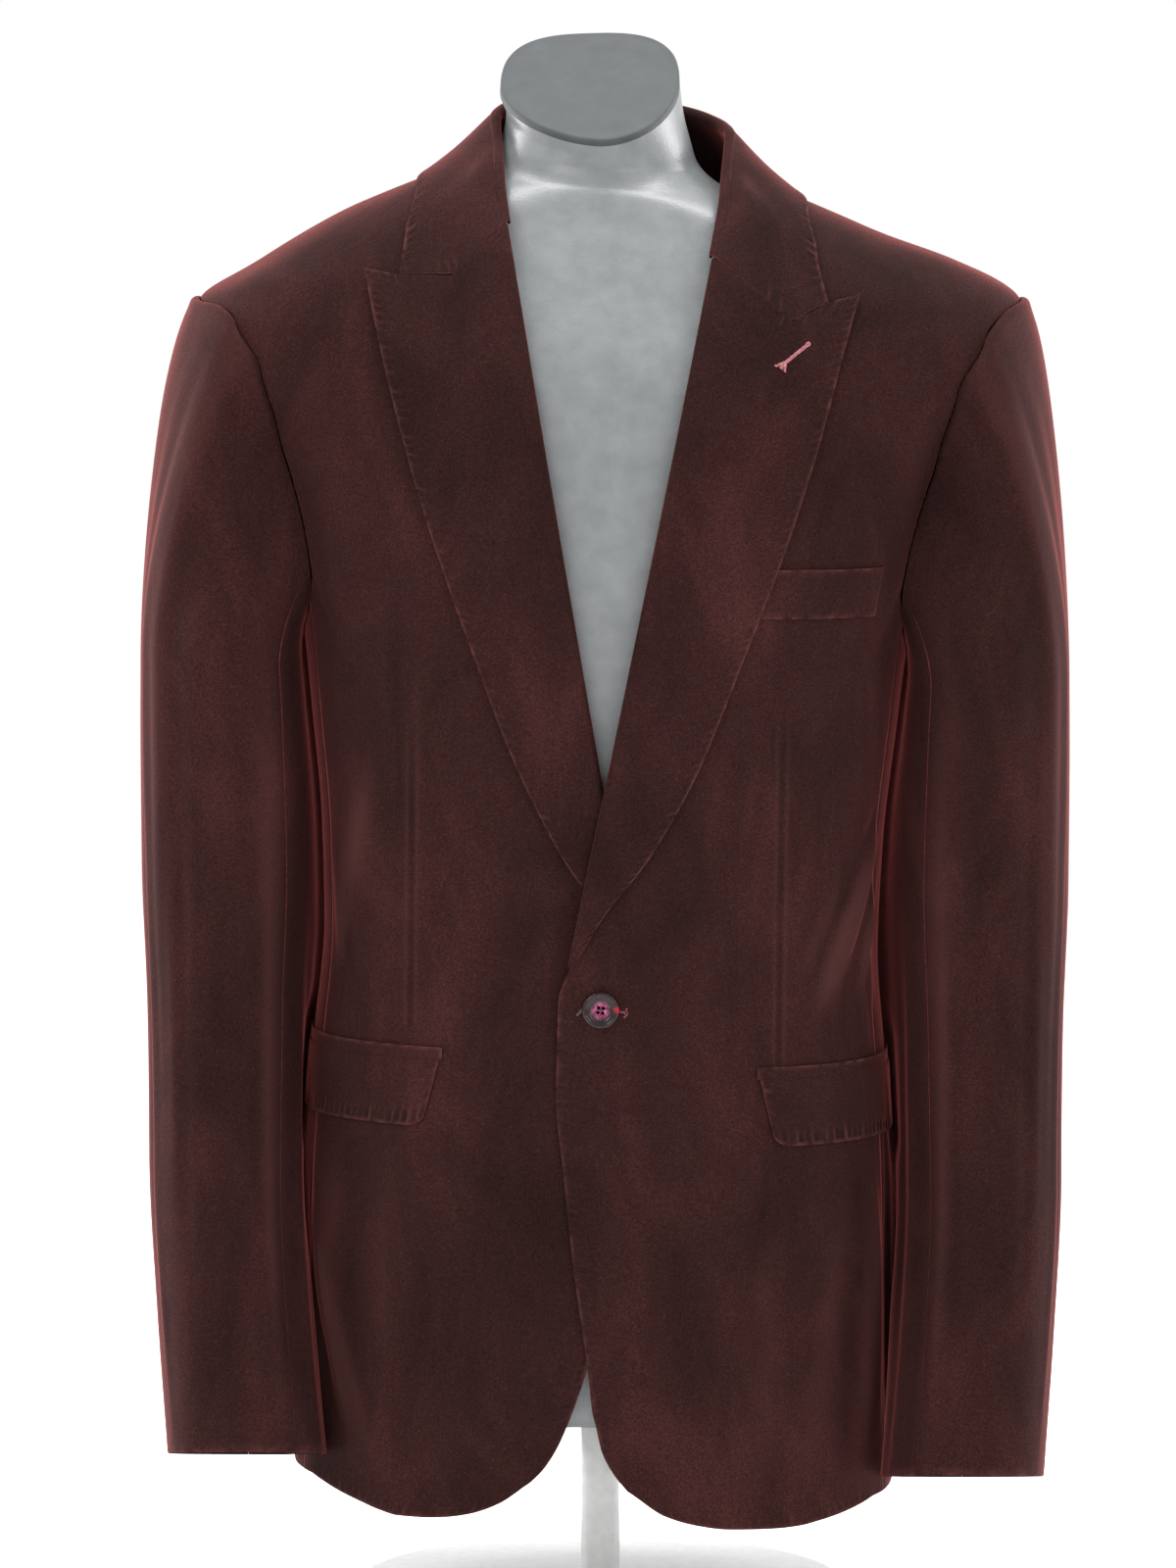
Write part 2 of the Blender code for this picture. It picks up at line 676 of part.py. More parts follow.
def gorge_dip(side, last):
    """How far the gorge lies below a straight line from its roll point to one of its corners."""
    gorge = gorge_points(side)[: last + 1]
    shares = (gorge[:, 0] - gorge[0, 0]) / (gorge[-1, 0] - gorge[0, 0])
    straight = gorge[0, 1] + (gorge[-1, 1] - gorge[0, 1]) * shares
    return shares, gorge[:, 1] - straight


def make_lapel(name, side):
    rows = 15
    outer, inner = [], []
    dip_shares, dip = gorge_dip(side, 3)
    for share in np.linspace(0, 1, rows):
        start, end, roll, centre = lapel_row(share, side)
        width = np.linalg.norm(end - start)
        roll = min(roll, width * 0.3)
        edge_out = min(LAPEL_GAP + LAPEL_WALL / 2, centre + roll)
        profile = turned_profile(width, roll, centre, edge_out, LAPEL_TURNS, leaf_shares(side, 3))
        fade = smoothstep(0.78, 1.0, share)
        row = turned_points(start, end, profile, (dip_shares, dip * fade), LAPEL_WALL, side)
        outer.append(row[0])
        inner.append(row[1])
    return add_wall(name, np.array(outer), np.array(inner), VELVET)


STAND_SHARES = (0.0, 0.34, 0.68)
COLLAR_TURNS = (180, 140, 90, 40, 0)


def collar_end(side):
    """Middle line of the collar's front end, along the gorge, and its normals, on the own side."""
    gorge = gorge_points(side)
    step = SEAM_GAP + 0.4
    start = gorge[0] + unit(gorge[0] - gorge[1]) * 2.0 + np.array([0, step])
    end = gorge[2] + np.array([-0.4, step])
    width = np.linalg.norm(end - start)
    turns = (208, 200, 192, 183, 165, 140, 115, 90)
    profile = turned_profile(width, 3.2, 1.0, LAPEL_GAP + COLLAR_WALL / 2, turns, leaf_shares(side, 2))
    outer, inner = turned_points(start, end, profile, gorge_dip(side, 2), COLLAR_WALL, side)
    return mirrored((outer + inner) / 2, side), mirrored(unit(outer - inner), side)


LEAF_SHARES = (0.16, 0.33, 0.5, 0.67, 0.84, 1.0)


def clear_of_body(where, distance):
    """A point moved out, where it must be, to lie at least that distance off the body's outer face."""
    for _ in range(4):
        x, y, height = where
        depth = front_at(height) if y < 0 else back_at(height)
        across, deep = abs(x) / half_width_at(height), abs(y) / depth
        size = (across**SQUARENESS + deep**SQUARENESS) ** (1 / SQUARENESS)
        turn = math.atan2(across ** (SQUARENESS / 2), deep ** (SQUARENESS / 2))
        angle = math.degrees(turn if y < 0 else math.pi - turn)
        normal = body_normal(angle, height)
        off = np.dot(where * np.array([1, 1, 0]) * (1 - 1 / size), normal)
        where = where + normal * max(0.0, distance - off)
    return where


def collar_section(neck_angle):
    """Middle line of the collar at an angle round the neckline: up the stand, over and down the leaf."""
    keys = CollarStation._fields
    at = {key: float(column(COLLAR_STATIONS, "neck_angle", key)(neck_angle)) for key in keys}
    neck_height = float(neckline_height_at(neck_angle)) if neck_angle < 90 else NECK_POINT
    neck = body_point(neck_angle, neck_height, -CLOTH / 2)
    fold = np.array([at["fold_x"], at["fold_y"], at["fold_height"]])
    edge = body_point(at["edge_angle"], at["edge_height"], LAPEL_GAP + COLLAR_WALL / 2)
    fall = edge - fold
    up = unit(np.array([0.0, 0.0, 1.0]) - 0.25 * unit(fall * np.array([1, 1, 0])))
    outward = unit(fall - up * np.dot(fall, up))
    centre = fold - up * COLLAR_ROLL
    stand_top = centre - outward * COLLAR_ROLL
    leaf_top = centre + outward * COLLAR_ROLL
    seam_gap = SEAM_GAP + (0.7 if neck_angle > 60 else 1.4)
    start = neck + unit(stand_top - neck) * seam_gap
    line = [start + (stand_top - start) * share for share in STAND_SHARES]
    for turn in np.radians(COLLAR_TURNS):
        line.append(centre + outward * COLLAR_ROLL * math.cos(turn) + up * COLLAR_ROLL * math.sin(turn))
    reach = np.linalg.norm(edge - leaf_top)
    control = (leaf_top + edge) / 2 + up * reach * COLLAR_FULLNESS
    for share in LEAF_SHARES:
        leaf = (1 - share) ** 2 * leaf_top + 2 * share * (1 - share) * control + share**2 * edge
        line.append(clear_of_body(leaf, LAPEL_GAP + COLLAR_WALL / 2))
    return np.array(line)


def grid_normals(grid):
    across = np.gradient(grid, axis=1)
    along = np.gradient(grid, axis=0)
    return unit(np.cross(across, along))


def make_collar(name):
    """The collar in one piece: stand, fold and leaf from one gorge round the neck to the other."""
    neck_angles = FRONT_NECK_ANGLES + BACK_NECK_ANGLES[1:]
    half = np.array([collar_section(angle) for angle in neck_angles])
    left_end, left_normal = collar_end(1)
    right_end, right_normal = collar_end(-1)
    left = np.concatenate([left_end[None], half])
    right = np.concatenate([right_end[None], half])
    left[-1, :, 0] = 0.0
    middle = np.concatenate([left, mirrored(right[-2::-1], -1)])
    normal = grid_normals(middle)
    facing = math.copysign(1, float(np.sum(normal[0] * left_normal)))
    normal[0], normal[-1] = left_normal * facing, mirrored(right_normal, -1) * facing
    outer = middle + normal * COLLAR_WALL / 2
    inner = middle - normal * COLLAR_WALL / 2
    return add_wall(name, outer, inner, VELVET)


# Pocket pieces


def make_flap(name, side):
    """A pocket flap with a rounded front corner, lying on the front and the side panel."""
    rows = 4
    drop = np.linspace(0, 1, rows + 1)[:, None]
    across = np.concatenate([[0, 0.014, 0.036, 0.07], np.linspace(0.15, 1, 8)])[None, :]
    front_x = FLAP_FRONT_TOP_X + (FLAP_FRONT_BOTTOM_X - FLAP_FRONT_TOP_X) * drop
    front_angle = angle_at(front_x, FLAP_TOP)
    angle = front_angle + (FLAP_BACK_ANGLE - front_angle) * across
    from_front = (angle - front_angle) * 2.0
    corner = FLAP_CORNER - np.clip(from_front, 0, FLAP_CORNER)
    bottom = FLAP_BOTTOM + FLAP_CORNER - np.sqrt(np.clip(FLAP_CORNER**2 - corner**2, 0, None))
    height = FLAP_TOP - (FLAP_TOP - bottom) * drop
    outer = body_point(angle * side, height, LAID_ON_GAP + FLAP_WALL)
    inner = body_point(angle * side, height, LAID_ON_GAP)
    return add_wall(name, outer, inner, VELVET)


def make_strip(name, side, low, high, inner_x, outer_angle, wall, columns):
    """A flat strip on a front, such as a pocket jet or welt."""
    height = np.array([low, (low + high) / 2, high])[:, None]
    front_angle = angle_at(inner_x, height)
    angle = front_angle + (outer_angle - front_angle) * np.linspace(0, 1, columns + 1)[None, :]
    height = np.broadcast_to(height, angle.shape)
    outer = body_point(angle * side, height, LAID_ON_GAP + wall)
    inner = body_point(angle * side, height, LAID_ON_GAP)
    return add_wall(name, outer, inner, VELVET)


# Sleeves

sleeve_x_at = column(SLEEVE_RINGS, "height", "x")
sleeve_y_at = column(SLEEVE_RINGS, "height", "y")
sleeve_half_width_at = column(SLEEVE_RINGS, "height", "half_width")
sleeve_half_depth_at = column(SLEEVE_RINGS, "height", "half_depth")


def sleeve_folds(turn, height):
    total = np.zeros(np.broadcast(turn, height).shape)
    for fold in SLEEVE_FOLDS:
        away = (turn - fold.turn + 180) % 360 - 180
        middle, half = (fold.top + fold.bottom) / 2, (fold.top - fold.bottom) / 2
        total = total + fold.depth * np.exp(-((away / fold.half_turn) ** 2) - ((height - middle) / half) ** 4)
    return total


def sleeve_ring(turn, height, side):
    """The hanging sleeve below its head, kept clear of the body's side."""
    angle = np.radians(turn)
    sway_rate = SLEEVE_SWAY_LEFT if side > 0 else -SLEEVE_SWAY_RIGHT
    sway = sway_rate * np.clip(SWAY_HEIGHT - height, 0, None)
    x = sway + sleeve_x_at(height) + sleeve_half_width_at(height) * rounded(np.cos(angle), SLEEVE_SQUARENESS)
    depth = sleeve_half_depth_at(height) * rounded(np.sin(angle), SLEEVE_SQUARENESS)
    y = sleeve_y_at(height) - depth
    by_flap = smoothstep(195, 212, height) * (1 - smoothstep(266, 284, height))
    wide = SLEEVE_CLEARANCE - SLEEVE_REAR_CLEARANCE + by_flap * (LAID_ON_GAP + FLAP_WALL)
    clearance = SLEEVE_REAR_CLEARANCE + wide * smoothstep(16, -8, y)
    away = (turn - SNUG_TURN + 180) % 360 - 180
    x = x - SNUG_DEPTH * smoothstep(40, 130, height) * np.exp(-((away / SNUG_HALF_TURN) ** 2))
    reach = np.where(y < 0, front_at(height), back_at(height)) + clearance
    inside = np.clip(1 - np.clip(np.abs(y) / reach, 0, 1) ** SQUARENESS, 0, 1)
    limit = (half_width_at(height) + clearance) * inside ** (1 / SQUARENESS)
    short = limit - x
    x = x + 0.5 * (short + np.sqrt(short**2 + SNUG_SOFTNESS**2))
    cuff = smoothstep(150, 28, height)
    z = height + CUFF_SLANT * cuff * depth / sleeve_half_depth_at(height)
    return points(x, y, z)


def sleeve_head(turn, share, side):
    """The sleeve's head, from the armhole (share 0) down to its first full ring (share 1)."""
    turn_in = np.mod(turn, 360)
    hole = body_ring(armhole_angle_at(turn_in), armhole_height_at(turn_in))
    ring = sleeve_ring(turn, np.full_like(turn_in, SLEEVE_TOP_RING), side)
    angle = np.radians(turn)
    leave = unit(points(0.8 + 0.2 * np.cos(angle), -0.6 * np.sin(angle), -0.36 + 0.5 * np.cos(angle)))
    hole = hole + leave * (SEAM_GAP + 0.15)
    chord = np.linalg.norm(ring - hole, axis=-1, keepdims=True)
    below = sleeve_ring(turn, np.full_like(turn_in, SLEEVE_TOP_RING - 2), side)
    arrive = unit(below - ring) * chord * 1.2
    t = share[..., None]
    start = (1 + 2 * t) * (1 - t) ** 2 * hole + t * (1 - t) ** 2 * leave * chord * 0.22
    return start + t * t * (3 - 2 * t) * ring + t * t * (t - 1) * arrive


def sleeve_surface(turn, way, side):
    """A sleeve point: way runs 0 to 1 down the head and 1 to 2 down to the cuff."""
    turn, way = np.broadcast_arrays(np.asarray(turn, float), np.asarray(way, float))
    cuff = SLEEVE_RINGS[0].height
    height = SLEEVE_TOP_RING + (cuff - SLEEVE_TOP_RING) * np.clip(way - 1, 0, 1)
    head = sleeve_head(turn, np.clip(way, 0, 1), side)
    return np.where((way <= 1)[..., None], head, sleeve_ring(turn, height, side))


def sleeve_point(turn, way, out, side):
    """A sleeve point on the own side, moved out from the sleeve's outer face."""
    turn, way = np.broadcast_arrays(np.asarray(turn, float), np.asarray(way, float))
    turn_step, way_step = 1.0, 0.004
    above, below = np.clip(way - way_step, 0, 2), np.clip(way + way_step, 0, 2)
    across = sleeve_surface(turn + turn_step, way, side) - sleeve_surface(turn - turn_step, way, side)
    down = sleeve_surface(turn, below, side) - sleeve_surface(turn, above, side)
    normal = unit(np.cross(across, down))
    where = sleeve_surface(turn, way, side)
    reach = out + sleeve_folds(turn, where[..., 2])
    return where + normal * np.asarray(reach)[..., None]


def make_sleeve_half(name, side, top_half):
    """The top or the under half of a two-piece sleeve, from the armhole to the cuff."""
    head_rows, arm_rows = 6, 10
    way = np.concatenate([np.linspace(0, 1, head_rows), np.linspace(1, 2, arm_rows + 1)[1:]])[:, None]
    gap = math.degrees(SEAM_GAP / 2 / 48)
    if top_half:
        stations = np.arange(ELBOW_SEAM - 360, FOREARM_SEAM_TOP + 0.1, ARMHOLE_STEP)
        shift = (stations - stations[0]) / (stations[-1] - stations[0])
    else:
        stations = np.concatenate([
            [FOREARM_SEAM_TOP],
            np.arange(FRONT_SEAM_TURN, BACK_SEAM_TURN, UNDERARM_STEP),
            np.arange(BACK_SEAM_TURN, ELBOW_SEAM + 0.1, ARMHOLE_STEP),
        ])
        shift = (stations[-1] - stations) / (stations[-1] - stations[0])
    turn = stations[None, :] + shift[None, :] * (FOREARM_SEAM_CUFF - FOREARM_SEAM_TOP) * way / 2
    turn[:, 0] += gap
    turn[:, -1] -= gap
    outer = mirrored(sleeve_point(turn, way, 0.0, side), side)
    inner = mirrored(sleeve_point(turn, way, -CLOTH, side), side)
    return add_wall(name, outer, inner, VELVET)


# Button


def make_button(name):
    """A four-hole button with a raised rim, turned from its section and drilled."""
    radius, thickness = BUTTON_DIAMETER / 2, 4.2
    hole_radius, hole_offset = 1.0, 1.9
    section = [
        (0.0, 2.6), (5.6, 2.6), (6.6, 3.0), (7.8, 3.9), (8.8, thickness), (9.7, 3.8),
        (radius, 2.9), (radius - 0.3, 1.6), (8.2, 0.4), (6.0, 0.0), (0.0, 0.0),
    ]
    profile = bpy.data.meshes.new(name)
    edges = [(i, i + 1) for i in range(len(section) - 1)]
    profile.from_pydata([(r * MM, 0, z * MM) for r, z in section], edges, [])
    profile.materials.append(make_material(BUTTON_RESIN))
    button = bpy.data.objects.new(name, profile)
    bpy.data.collections["velvet_jacket"].objects.link(button)
    turned = button.modifiers.new("turned", "SCREW")
    turned.steps = turned.render_steps = 20
    turned.use_merge_vertices = True
    turned.merge_threshold = 0.00005
    turned.use_smooth_shade = True
    for k in range(4):
        place = math.radians(45 + 90 * k)
        bpy.ops.mesh.primitive_cylinder_add(vertices=8, radius=hole_radius * MM, depth=12 * MM)
        cutter = bpy.context.object
        cutter.name = f"button_hole_cutter_{k}"
        cutter.location = (hole_offset * math.cos(place) * MM, hole_offset * math.sin(place) * MM, 2 * MM)
        cutter.parent = button
        cutter.hide_render = True
        cutter.display_type = "WIRE"
        for collection in list(cutter.users_collection):
            collection.objects.unlink(cutter)
        bpy.data.collections["cutters"].objects.link(cutter)
        drilled = button.modifiers.new(f"hole_{k}", "BOOLEAN")
        drilled.object = cutter
    lift = overlap_lift(0.0, BUTTON_HEIGHT)
    seat = hang(body_point(0.0, BUTTON_HEIGHT, lift + LAID_ON_GAP))
    facing = Vector(body_normal(0.0, np.float64(BUTTON_HEIGHT)))
    button.location = Vector(seat) * MM
    button.rotation_euler = facing.to_track_quat("Z", "Y").to_euler()
    button.parent = bpy.data.objects["jacket_on_form"]
    return button


# Dress form and stand


def form_ring(height, count):
    """A ring of the form's torso, clear inside the jacket and close under its shoulders."""
    angle = np.linspace(-180, 180, count, endpoint=False)
    on_shoulder = smoothstep(560, 650, height)
    by_seam = np.exp(-(((np.abs(angle) - SHOULDER_SEAM) / 7) ** 2)) * smoothstep(660, 684, height)
    gap = FORM_BODY_GAP + (FORM_SHOULDER_GAP - FORM_BODY_GAP) * on_shoulder
    gap = gap + (FORM_SEAT_GAP - FORM_SHOULDER_GAP) * by_seam
    at_throat = smoothstep(640, 700, height) * (1 - smoothstep(42, 75, np.abs(angle)))
    gap = gap + (FORM_THROAT_GAP - FORM_SHOULDER_GAP) * at_throat
    level = np.full(count, float(height))
    inside = body_ring(angle, level) - body_normal(angle, level) * (CLOTH + gap)[:, None]
    beyond = np.abs(inside[:, 0]) - FORM_SHOULDER_END
    inside[:, 0] -= np.sign(inside[:, 0]) * 0.5 * (beyond + np.sqrt(beyond**2 + 16.0))
    return hang(inside)


def neck_ring(row, count, inset=0.0, rise=0.0):
    """A ring of the form's neck, which turns from an oval at the shoulders into a shield at its top."""
    angle = np.radians(np.linspace(-180, 180, count, endpoint=False))
    sine, cosine = np.sin(angle), np.cos(angle)
    top_squareness = np.where(cosine > 0, SHIELD_FRONT_SQUARENESS, SHIELD_BACK_SQUARENESS)
    squareness = 2 + (top_squareness - 2) * row.shield
    reach = np.where(cosine > 0, -(row.front - inset), row.back - inset)
    depth = reach * np.abs(rounded(cosine, squareness))
    x = row.x + (row.half_width - inset) * rounded(sine, squareness)
    x = x + row.shield * SHIELD_TIP_X * np.clip(cosine, 0, 1) ** 2
    level = row.shield * (SIDE_DROP * np.tanh(x / DROP_SPREAD) + SHIELD_RISE * x)
    return hang(points(x, depth, row.height + row.tilt * depth + rise + level))


def make_form():
    count = 32
    levels = (FORM_BOTTOM, 66, 120, 190, 260, 330, 400, 470, 530, 585, 625, 650, 668, 684, 700, 714, 725)
    rings = [form_ring(level, count) for level in levels]
    rings += [neck_ring(row, count) for row in FORM_NECK]
    rings[0] = rings[0] * np.array([0.985, 0.98, 0]) + np.array([0, 0, FORM_BOTTOM + HEM_ABOVE_FLOOR])
    add_loft("dress_form", rings, FORM_SKIN)
    cap_steps = ((0, SEAM_GAP), (0, 3.0), (1.2, CAP_THICKNESS))
    cap = [neck_ring(FORM_NECK[-1], count, inset, rise) for inset, rise in cap_steps]
    add_loft("neck_cap", cap, CAP_FACE)


def make_stand():
    pole_bottom = BASE_THICKNESS + SEAM_GAP
    pole_top = FORM_BOTTOM + HEM_ABOVE_FLOOR - SEAM_GAP
    for name, radius, low, high, sides, bevel in (
        ("stand_base", BASE_RADIUS, 0.0, BASE_THICKNESS, 48, 2.0),
        ("stand_pole", POLE_RADIUS, pole_bottom, pole_top, 24, 0.6),
    ):
        middle = (low + high) / 2 * MM
        bpy.ops.mesh.primitive_cylinder_add(
            vertices=sides, radius=radius * MM, depth=(high - low) * MM, location=(0, 0, middle)
        )
        piece = bpy.context.object
        piece.name = name
        piece.data.materials.append(make_material(POLE_STEEL))
        edge = piece.modifiers.new("rounded_edges", "BEVEL")
        edge.width = bevel * MM
        edge.segments = 1
        for collection in list(piece.users_collection):
            collection.objects.unlink(piece)
        bpy.data.collections["velvet_jacket"].objects.link(piece)
        piece.parent = bpy.data.objects["jacket_on_form"]


def main():
    clear_scene()
    for name in ("velvet_jacket", "cutters"):
        collection = bpy.data.collections.new(name)
        bpy.context.scene.collection.children.link(collection)
    empty = bpy.data.objects.new("jacket_on_form", None)
    bpy.data.collections["velvet_jacket"].objects.link(empty)

    for word, side in (("left", 1), ("right", -1)):
        make_front(f"front_{word}", side)
        make_side(f"side_{word}", side)
        make_back(f"back_{word}", side)
        make_lapel(f"lapel_{word}", side)
        make_sleeve_half(f"top_sleeve_{word}", side, True)
        make_sleeve_half(f"under_sleeve_{word}", side, False)
        make_flap(f"pocket_flap_{word}", side)
        make_strip(
            f"pocket_jet_{word}", side, FLAP_TOP + SEAM_GAP, JET_TOP, FLAP_FRONT_TOP_X - 1.5,
            FLAP_BACK_ANGLE, JET_WALL, 9,
        )
    welt_outer_angle = float(angle_at(WELT_OUTER_X, WELT_BOTTOM))
    make_strip("breast_welt", 1, WELT_BOTTOM, WELT_TOP, WELT_INNER_X, welt_outer_angle, WELT_WALL, 5)
    make_collar("collar")
    make_button("front_button")
    make_form()
    make_stand()


main()
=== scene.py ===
"""Looks of a burgundy velvet jacket on a limbless dress form.

The cloth pieces are thin walls on the same surfaces as the part's solids, drawn finer: edges carry the
dimples of hand stitching, and smaller creases than the solids' come from short tables.
Sizes are millimetres until a mesh is made; MM turns them into Blender's metres. Heights are measured
up from the hem, and "own side" lengths run from the centre line towards the side a piece belongs to.
"""

import math
from collections import namedtuple

import bpy
import numpy as np
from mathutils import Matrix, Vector
from mathutils.bvhtree import BVHTree


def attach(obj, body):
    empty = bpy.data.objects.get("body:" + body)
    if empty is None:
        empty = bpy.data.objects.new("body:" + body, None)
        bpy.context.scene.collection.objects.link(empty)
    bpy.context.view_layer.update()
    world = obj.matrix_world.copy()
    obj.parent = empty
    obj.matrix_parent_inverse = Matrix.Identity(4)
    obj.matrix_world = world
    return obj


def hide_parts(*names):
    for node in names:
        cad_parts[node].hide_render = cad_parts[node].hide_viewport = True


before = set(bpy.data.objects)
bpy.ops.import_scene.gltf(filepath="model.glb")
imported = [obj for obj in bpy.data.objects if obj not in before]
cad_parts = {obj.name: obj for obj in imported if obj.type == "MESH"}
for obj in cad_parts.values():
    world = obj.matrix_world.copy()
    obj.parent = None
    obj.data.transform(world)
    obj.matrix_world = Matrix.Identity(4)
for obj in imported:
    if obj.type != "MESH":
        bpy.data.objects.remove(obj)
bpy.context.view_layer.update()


MM = 0.001
# Driving sizes
HEM_ABOVE_FLOOR = 62.0
CLOTH = 1.8
# Sewn seams lie closer here than between the solids, so that no light comes through them.
SEAM_GAP = 0.06
ARMHOLE_EASE = 0.39
GORGE_EASE = 0.18
LAID_ON_GAP = 0.5
SQUARENESS = 2.5
SLEEVE_SQUARENESS = 2.3
# How the jacket hangs: its left front is lower, it leans a little to its left and its sleeves sway left.
SIDE_DROP = 6.5
DROP_SPREAD = 70.0
LEAN = 0.0143
LEAN_HEIGHT = 300.0
SLEEVE_SWAY_LEFT = 0.010
SLEEVE_SWAY_RIGHT = 0.020
SWAY_HEIGHT = 480.0
# Seams of the body, as angles round it: 0 is the centre front and 180 the centre back.
FRONT_SIDE_SEAM = 72.0
SIDE_BACK_SEAM = 108.0
SHOULDER_SEAM = 90.0
SHOULDER_POINT = 678.0
NECK_POINT = 748.0
SIDE_HEM = 16.0
# Rows of the fronts crowd towards the hem's rounded corner, and lie behind the button and the break.
FRONT_ROW_HEIGHTS = (26, 34, 47, 66, 95, 140, 195, 245, 291, 320, 376, 438, 500)
# The roll line, where the lapel turns back, is straight from the break to the gorge.
BREAK_HEIGHT = 306.0
BREAK_X = -19.0
GORGE_HEIGHT = 712.0
GORGE_X = 57.0
PANEL_SETBACK = 1.6
LAPEL_WALL = 1.6
LAPEL_GAP = 1.9
COLLAR_ROLL = 2.6
COLLAR_WALL = 1.6
COLLAR_FULLNESS = -0.05
FLAP_WALL = 1.8
JET_WALL = 1.2
WELT_WALL = 1.2
BUTTON_DIAMETER = 20.4
BUTTON_HEIGHT = 291.0
SLEEVE_TOP_RING = 470.0
SLEEVE_CLEARANCE = 3.0
SLEEVE_REAR_CLEARANCE = 1.0
CUFF_SLANT = 10.0
FORM_BOTTOM = 58.0
FORM_SEAT_GAP = 0.7
FORM_SHOULDER_GAP = 3.0
FORM_BODY_GAP = 5.0
FORM_THROAT_GAP = 9.0
FORM_SHOULDER_END = 206.0
POLE_RADIUS = 11.0
BASE_RADIUS = 140.0
BASE_THICKNESS = 10.0
Section = namedtuple("Section", "height half_width front back")
BODY_SECTIONS = (
    Section(-30, 171, 126, 123),
    Section(0, 170, 126, 124),
    Section(60, 169, 126, 126),
    Section(130, 168, 126, 127),
    Section(200, 165, 124, 124),
    Section(260, 161, 121, 117),
    Section(320, 156, 119, 109),
    Section(380, 158, 121, 108),
    Section(440, 164, 126, 114),
    Section(500, 171, 131, 121),
    Section(550, 181, 132.5, 125),
    Section(600, 198, 129, 126),
    Section(635, 221, 121, 122),
    Section(660, 236, 111, 115),
    Section(678, 229, 103, 109),
    Section(700, 193, 92, 99),
    Section(720, 151, 80, 89),
    Section(735, 116, 71, 81),
    Section(748, 83, 62, 73),
    Section(762, 52, 52, 62),
)
# Front edge from the hem's rounded corner up to the break, in own-side x of each front.
FrontEdge = namedtuple("FrontEdge", "height left right")
FRONT_EDGE = (
    FrontEdge(26, 18.5, 34.5),
    FrontEdge(34, 11.5, 27.5),
    FrontEdge(48, 3.8, 19.5),
    FrontEdge(66, -0.8, 12.5),
    FrontEdge(101, -5.5, 2),
    FrontEdge(159, -14.5, -10),
    FrontEdge(224, -21.5, -18),
    FrontEdge(251, -24, -20),
    FrontEdge(284, -24, -20),
)
Hem = namedtuple("Hem", "x left right")
HEM = (
    Hem(18.5, 26, 40),
    Hem(25, 20.8, 34),
    Hem(34.5, 15.4, 26),
    Hem(46, 11.2, 16.2),
    Hem(60, 8.2, 8.6),
    Hem(78, 6.3, 3),
    Hem(105, 6, 1),
    Hem(135, 10, 8),
    Hem(158, 16, 16),
)
Neckline = namedtuple("Neckline", "angle height")
FRONT_NECKLINE = (
    Neckline(15.4, 712),
    Neckline(31, 733),
    Neckline(55, 744),
    Neckline(90, 748),
)
# Where the collar's rows and the panels' rows meet along the neckline.
FRONT_NECK_ANGLES = (26, 40, 58, 74, 90)
BACK_NECK_ANGLES = (90, 105, 120, 135, 150, 165, 180)
# The armhole, by the turn round it: 0 is the shoulder point, 90 the front, 180 the underarm.
Armhole = namedtuple("Armhole", "turn angle height")
ARMHOLE = (
    Armhole(0, 90, 678),
    Armhole(15, 67, 672.5),
    Armhole(30, 57.5, 660),
    Armhole(50, 56.5, 641),
    Armhole(70, 61.5, 615),
    Armhole(90, 66, 585),
    Armhole(112, 66, 552),
    Armhole(135, 67, 523),
    Armhole(158, 75, 497),
    Armhole(180, 90, 486),
    Armhole(202, 105, 497),
    Armhole(225, 112, 523),
    Armhole(248, 115, 552),
    Armhole(270, 117, 588),
    Armhole(292, 121, 620),
    Armhole(312, 124, 645),
    Armhole(330, 121, 661),
    Armhole(345, 112, 672.5),
    Armhole(360, 90, 678),
)
# Panels and sleeves share these steps of turn, so that their edges follow each other.
ARMHOLE_STEP = 12.5
FRONT_SEAM_TURN = 150.0
BACK_SEAM_TURN = 210.0
SleeveRing = namedtuple("SleeveRing", "height x y half_width half_depth")
SLEEVE_RINGS = (
    SleeveRing(28, 201, -69, 46, 50),
    SleeveRing(112, 207.5, -54, 45.5, 55),
    SleeveRing(193, 212, -25, 46, 61),
    SleeveRing(275, 212, -9, 47, 65),
    SleeveRing(356, 211.5, -4, 50, 69),
    SleeveRing(426, 212.3, -5, 49, 73),
    SleeveRing(470, 213, -8, 47.5, 76),
)
# Seams of the two-piece sleeve, by the turn round it, at its head and at its cuff.
FOREARM_SEAM_TOP = 137.5
FOREARM_SEAM_CUFF = 124.0
ELBOW_SEAM = 272.5
# The under sleeve lies against the body behind its side: where, how wide and how deep.
SNUG_TURN = 228.0
SNUG_HALF_TURN = 31.0
SNUG_DEPTH = 39.0
SNUG_SOFTNESS = 3.6
LapelStation = namedtuple("LapelStation", "roll_height edge_x edge_height")
LAPEL_STATIONS = (
    LapelStation(313, -12, 319),
    LapelStation(330, 1, 343),
    LapelStation(365, 24, 376),
    LapelStation(410, 49, 424),
    LapelStation(460, 72, 482),
    LapelStation(520, 97, 551),
    LapelStation(585, 115, 610),
    LapelStation(650, 127, 655),
    LapelStation(709, 135.5, 687),
)
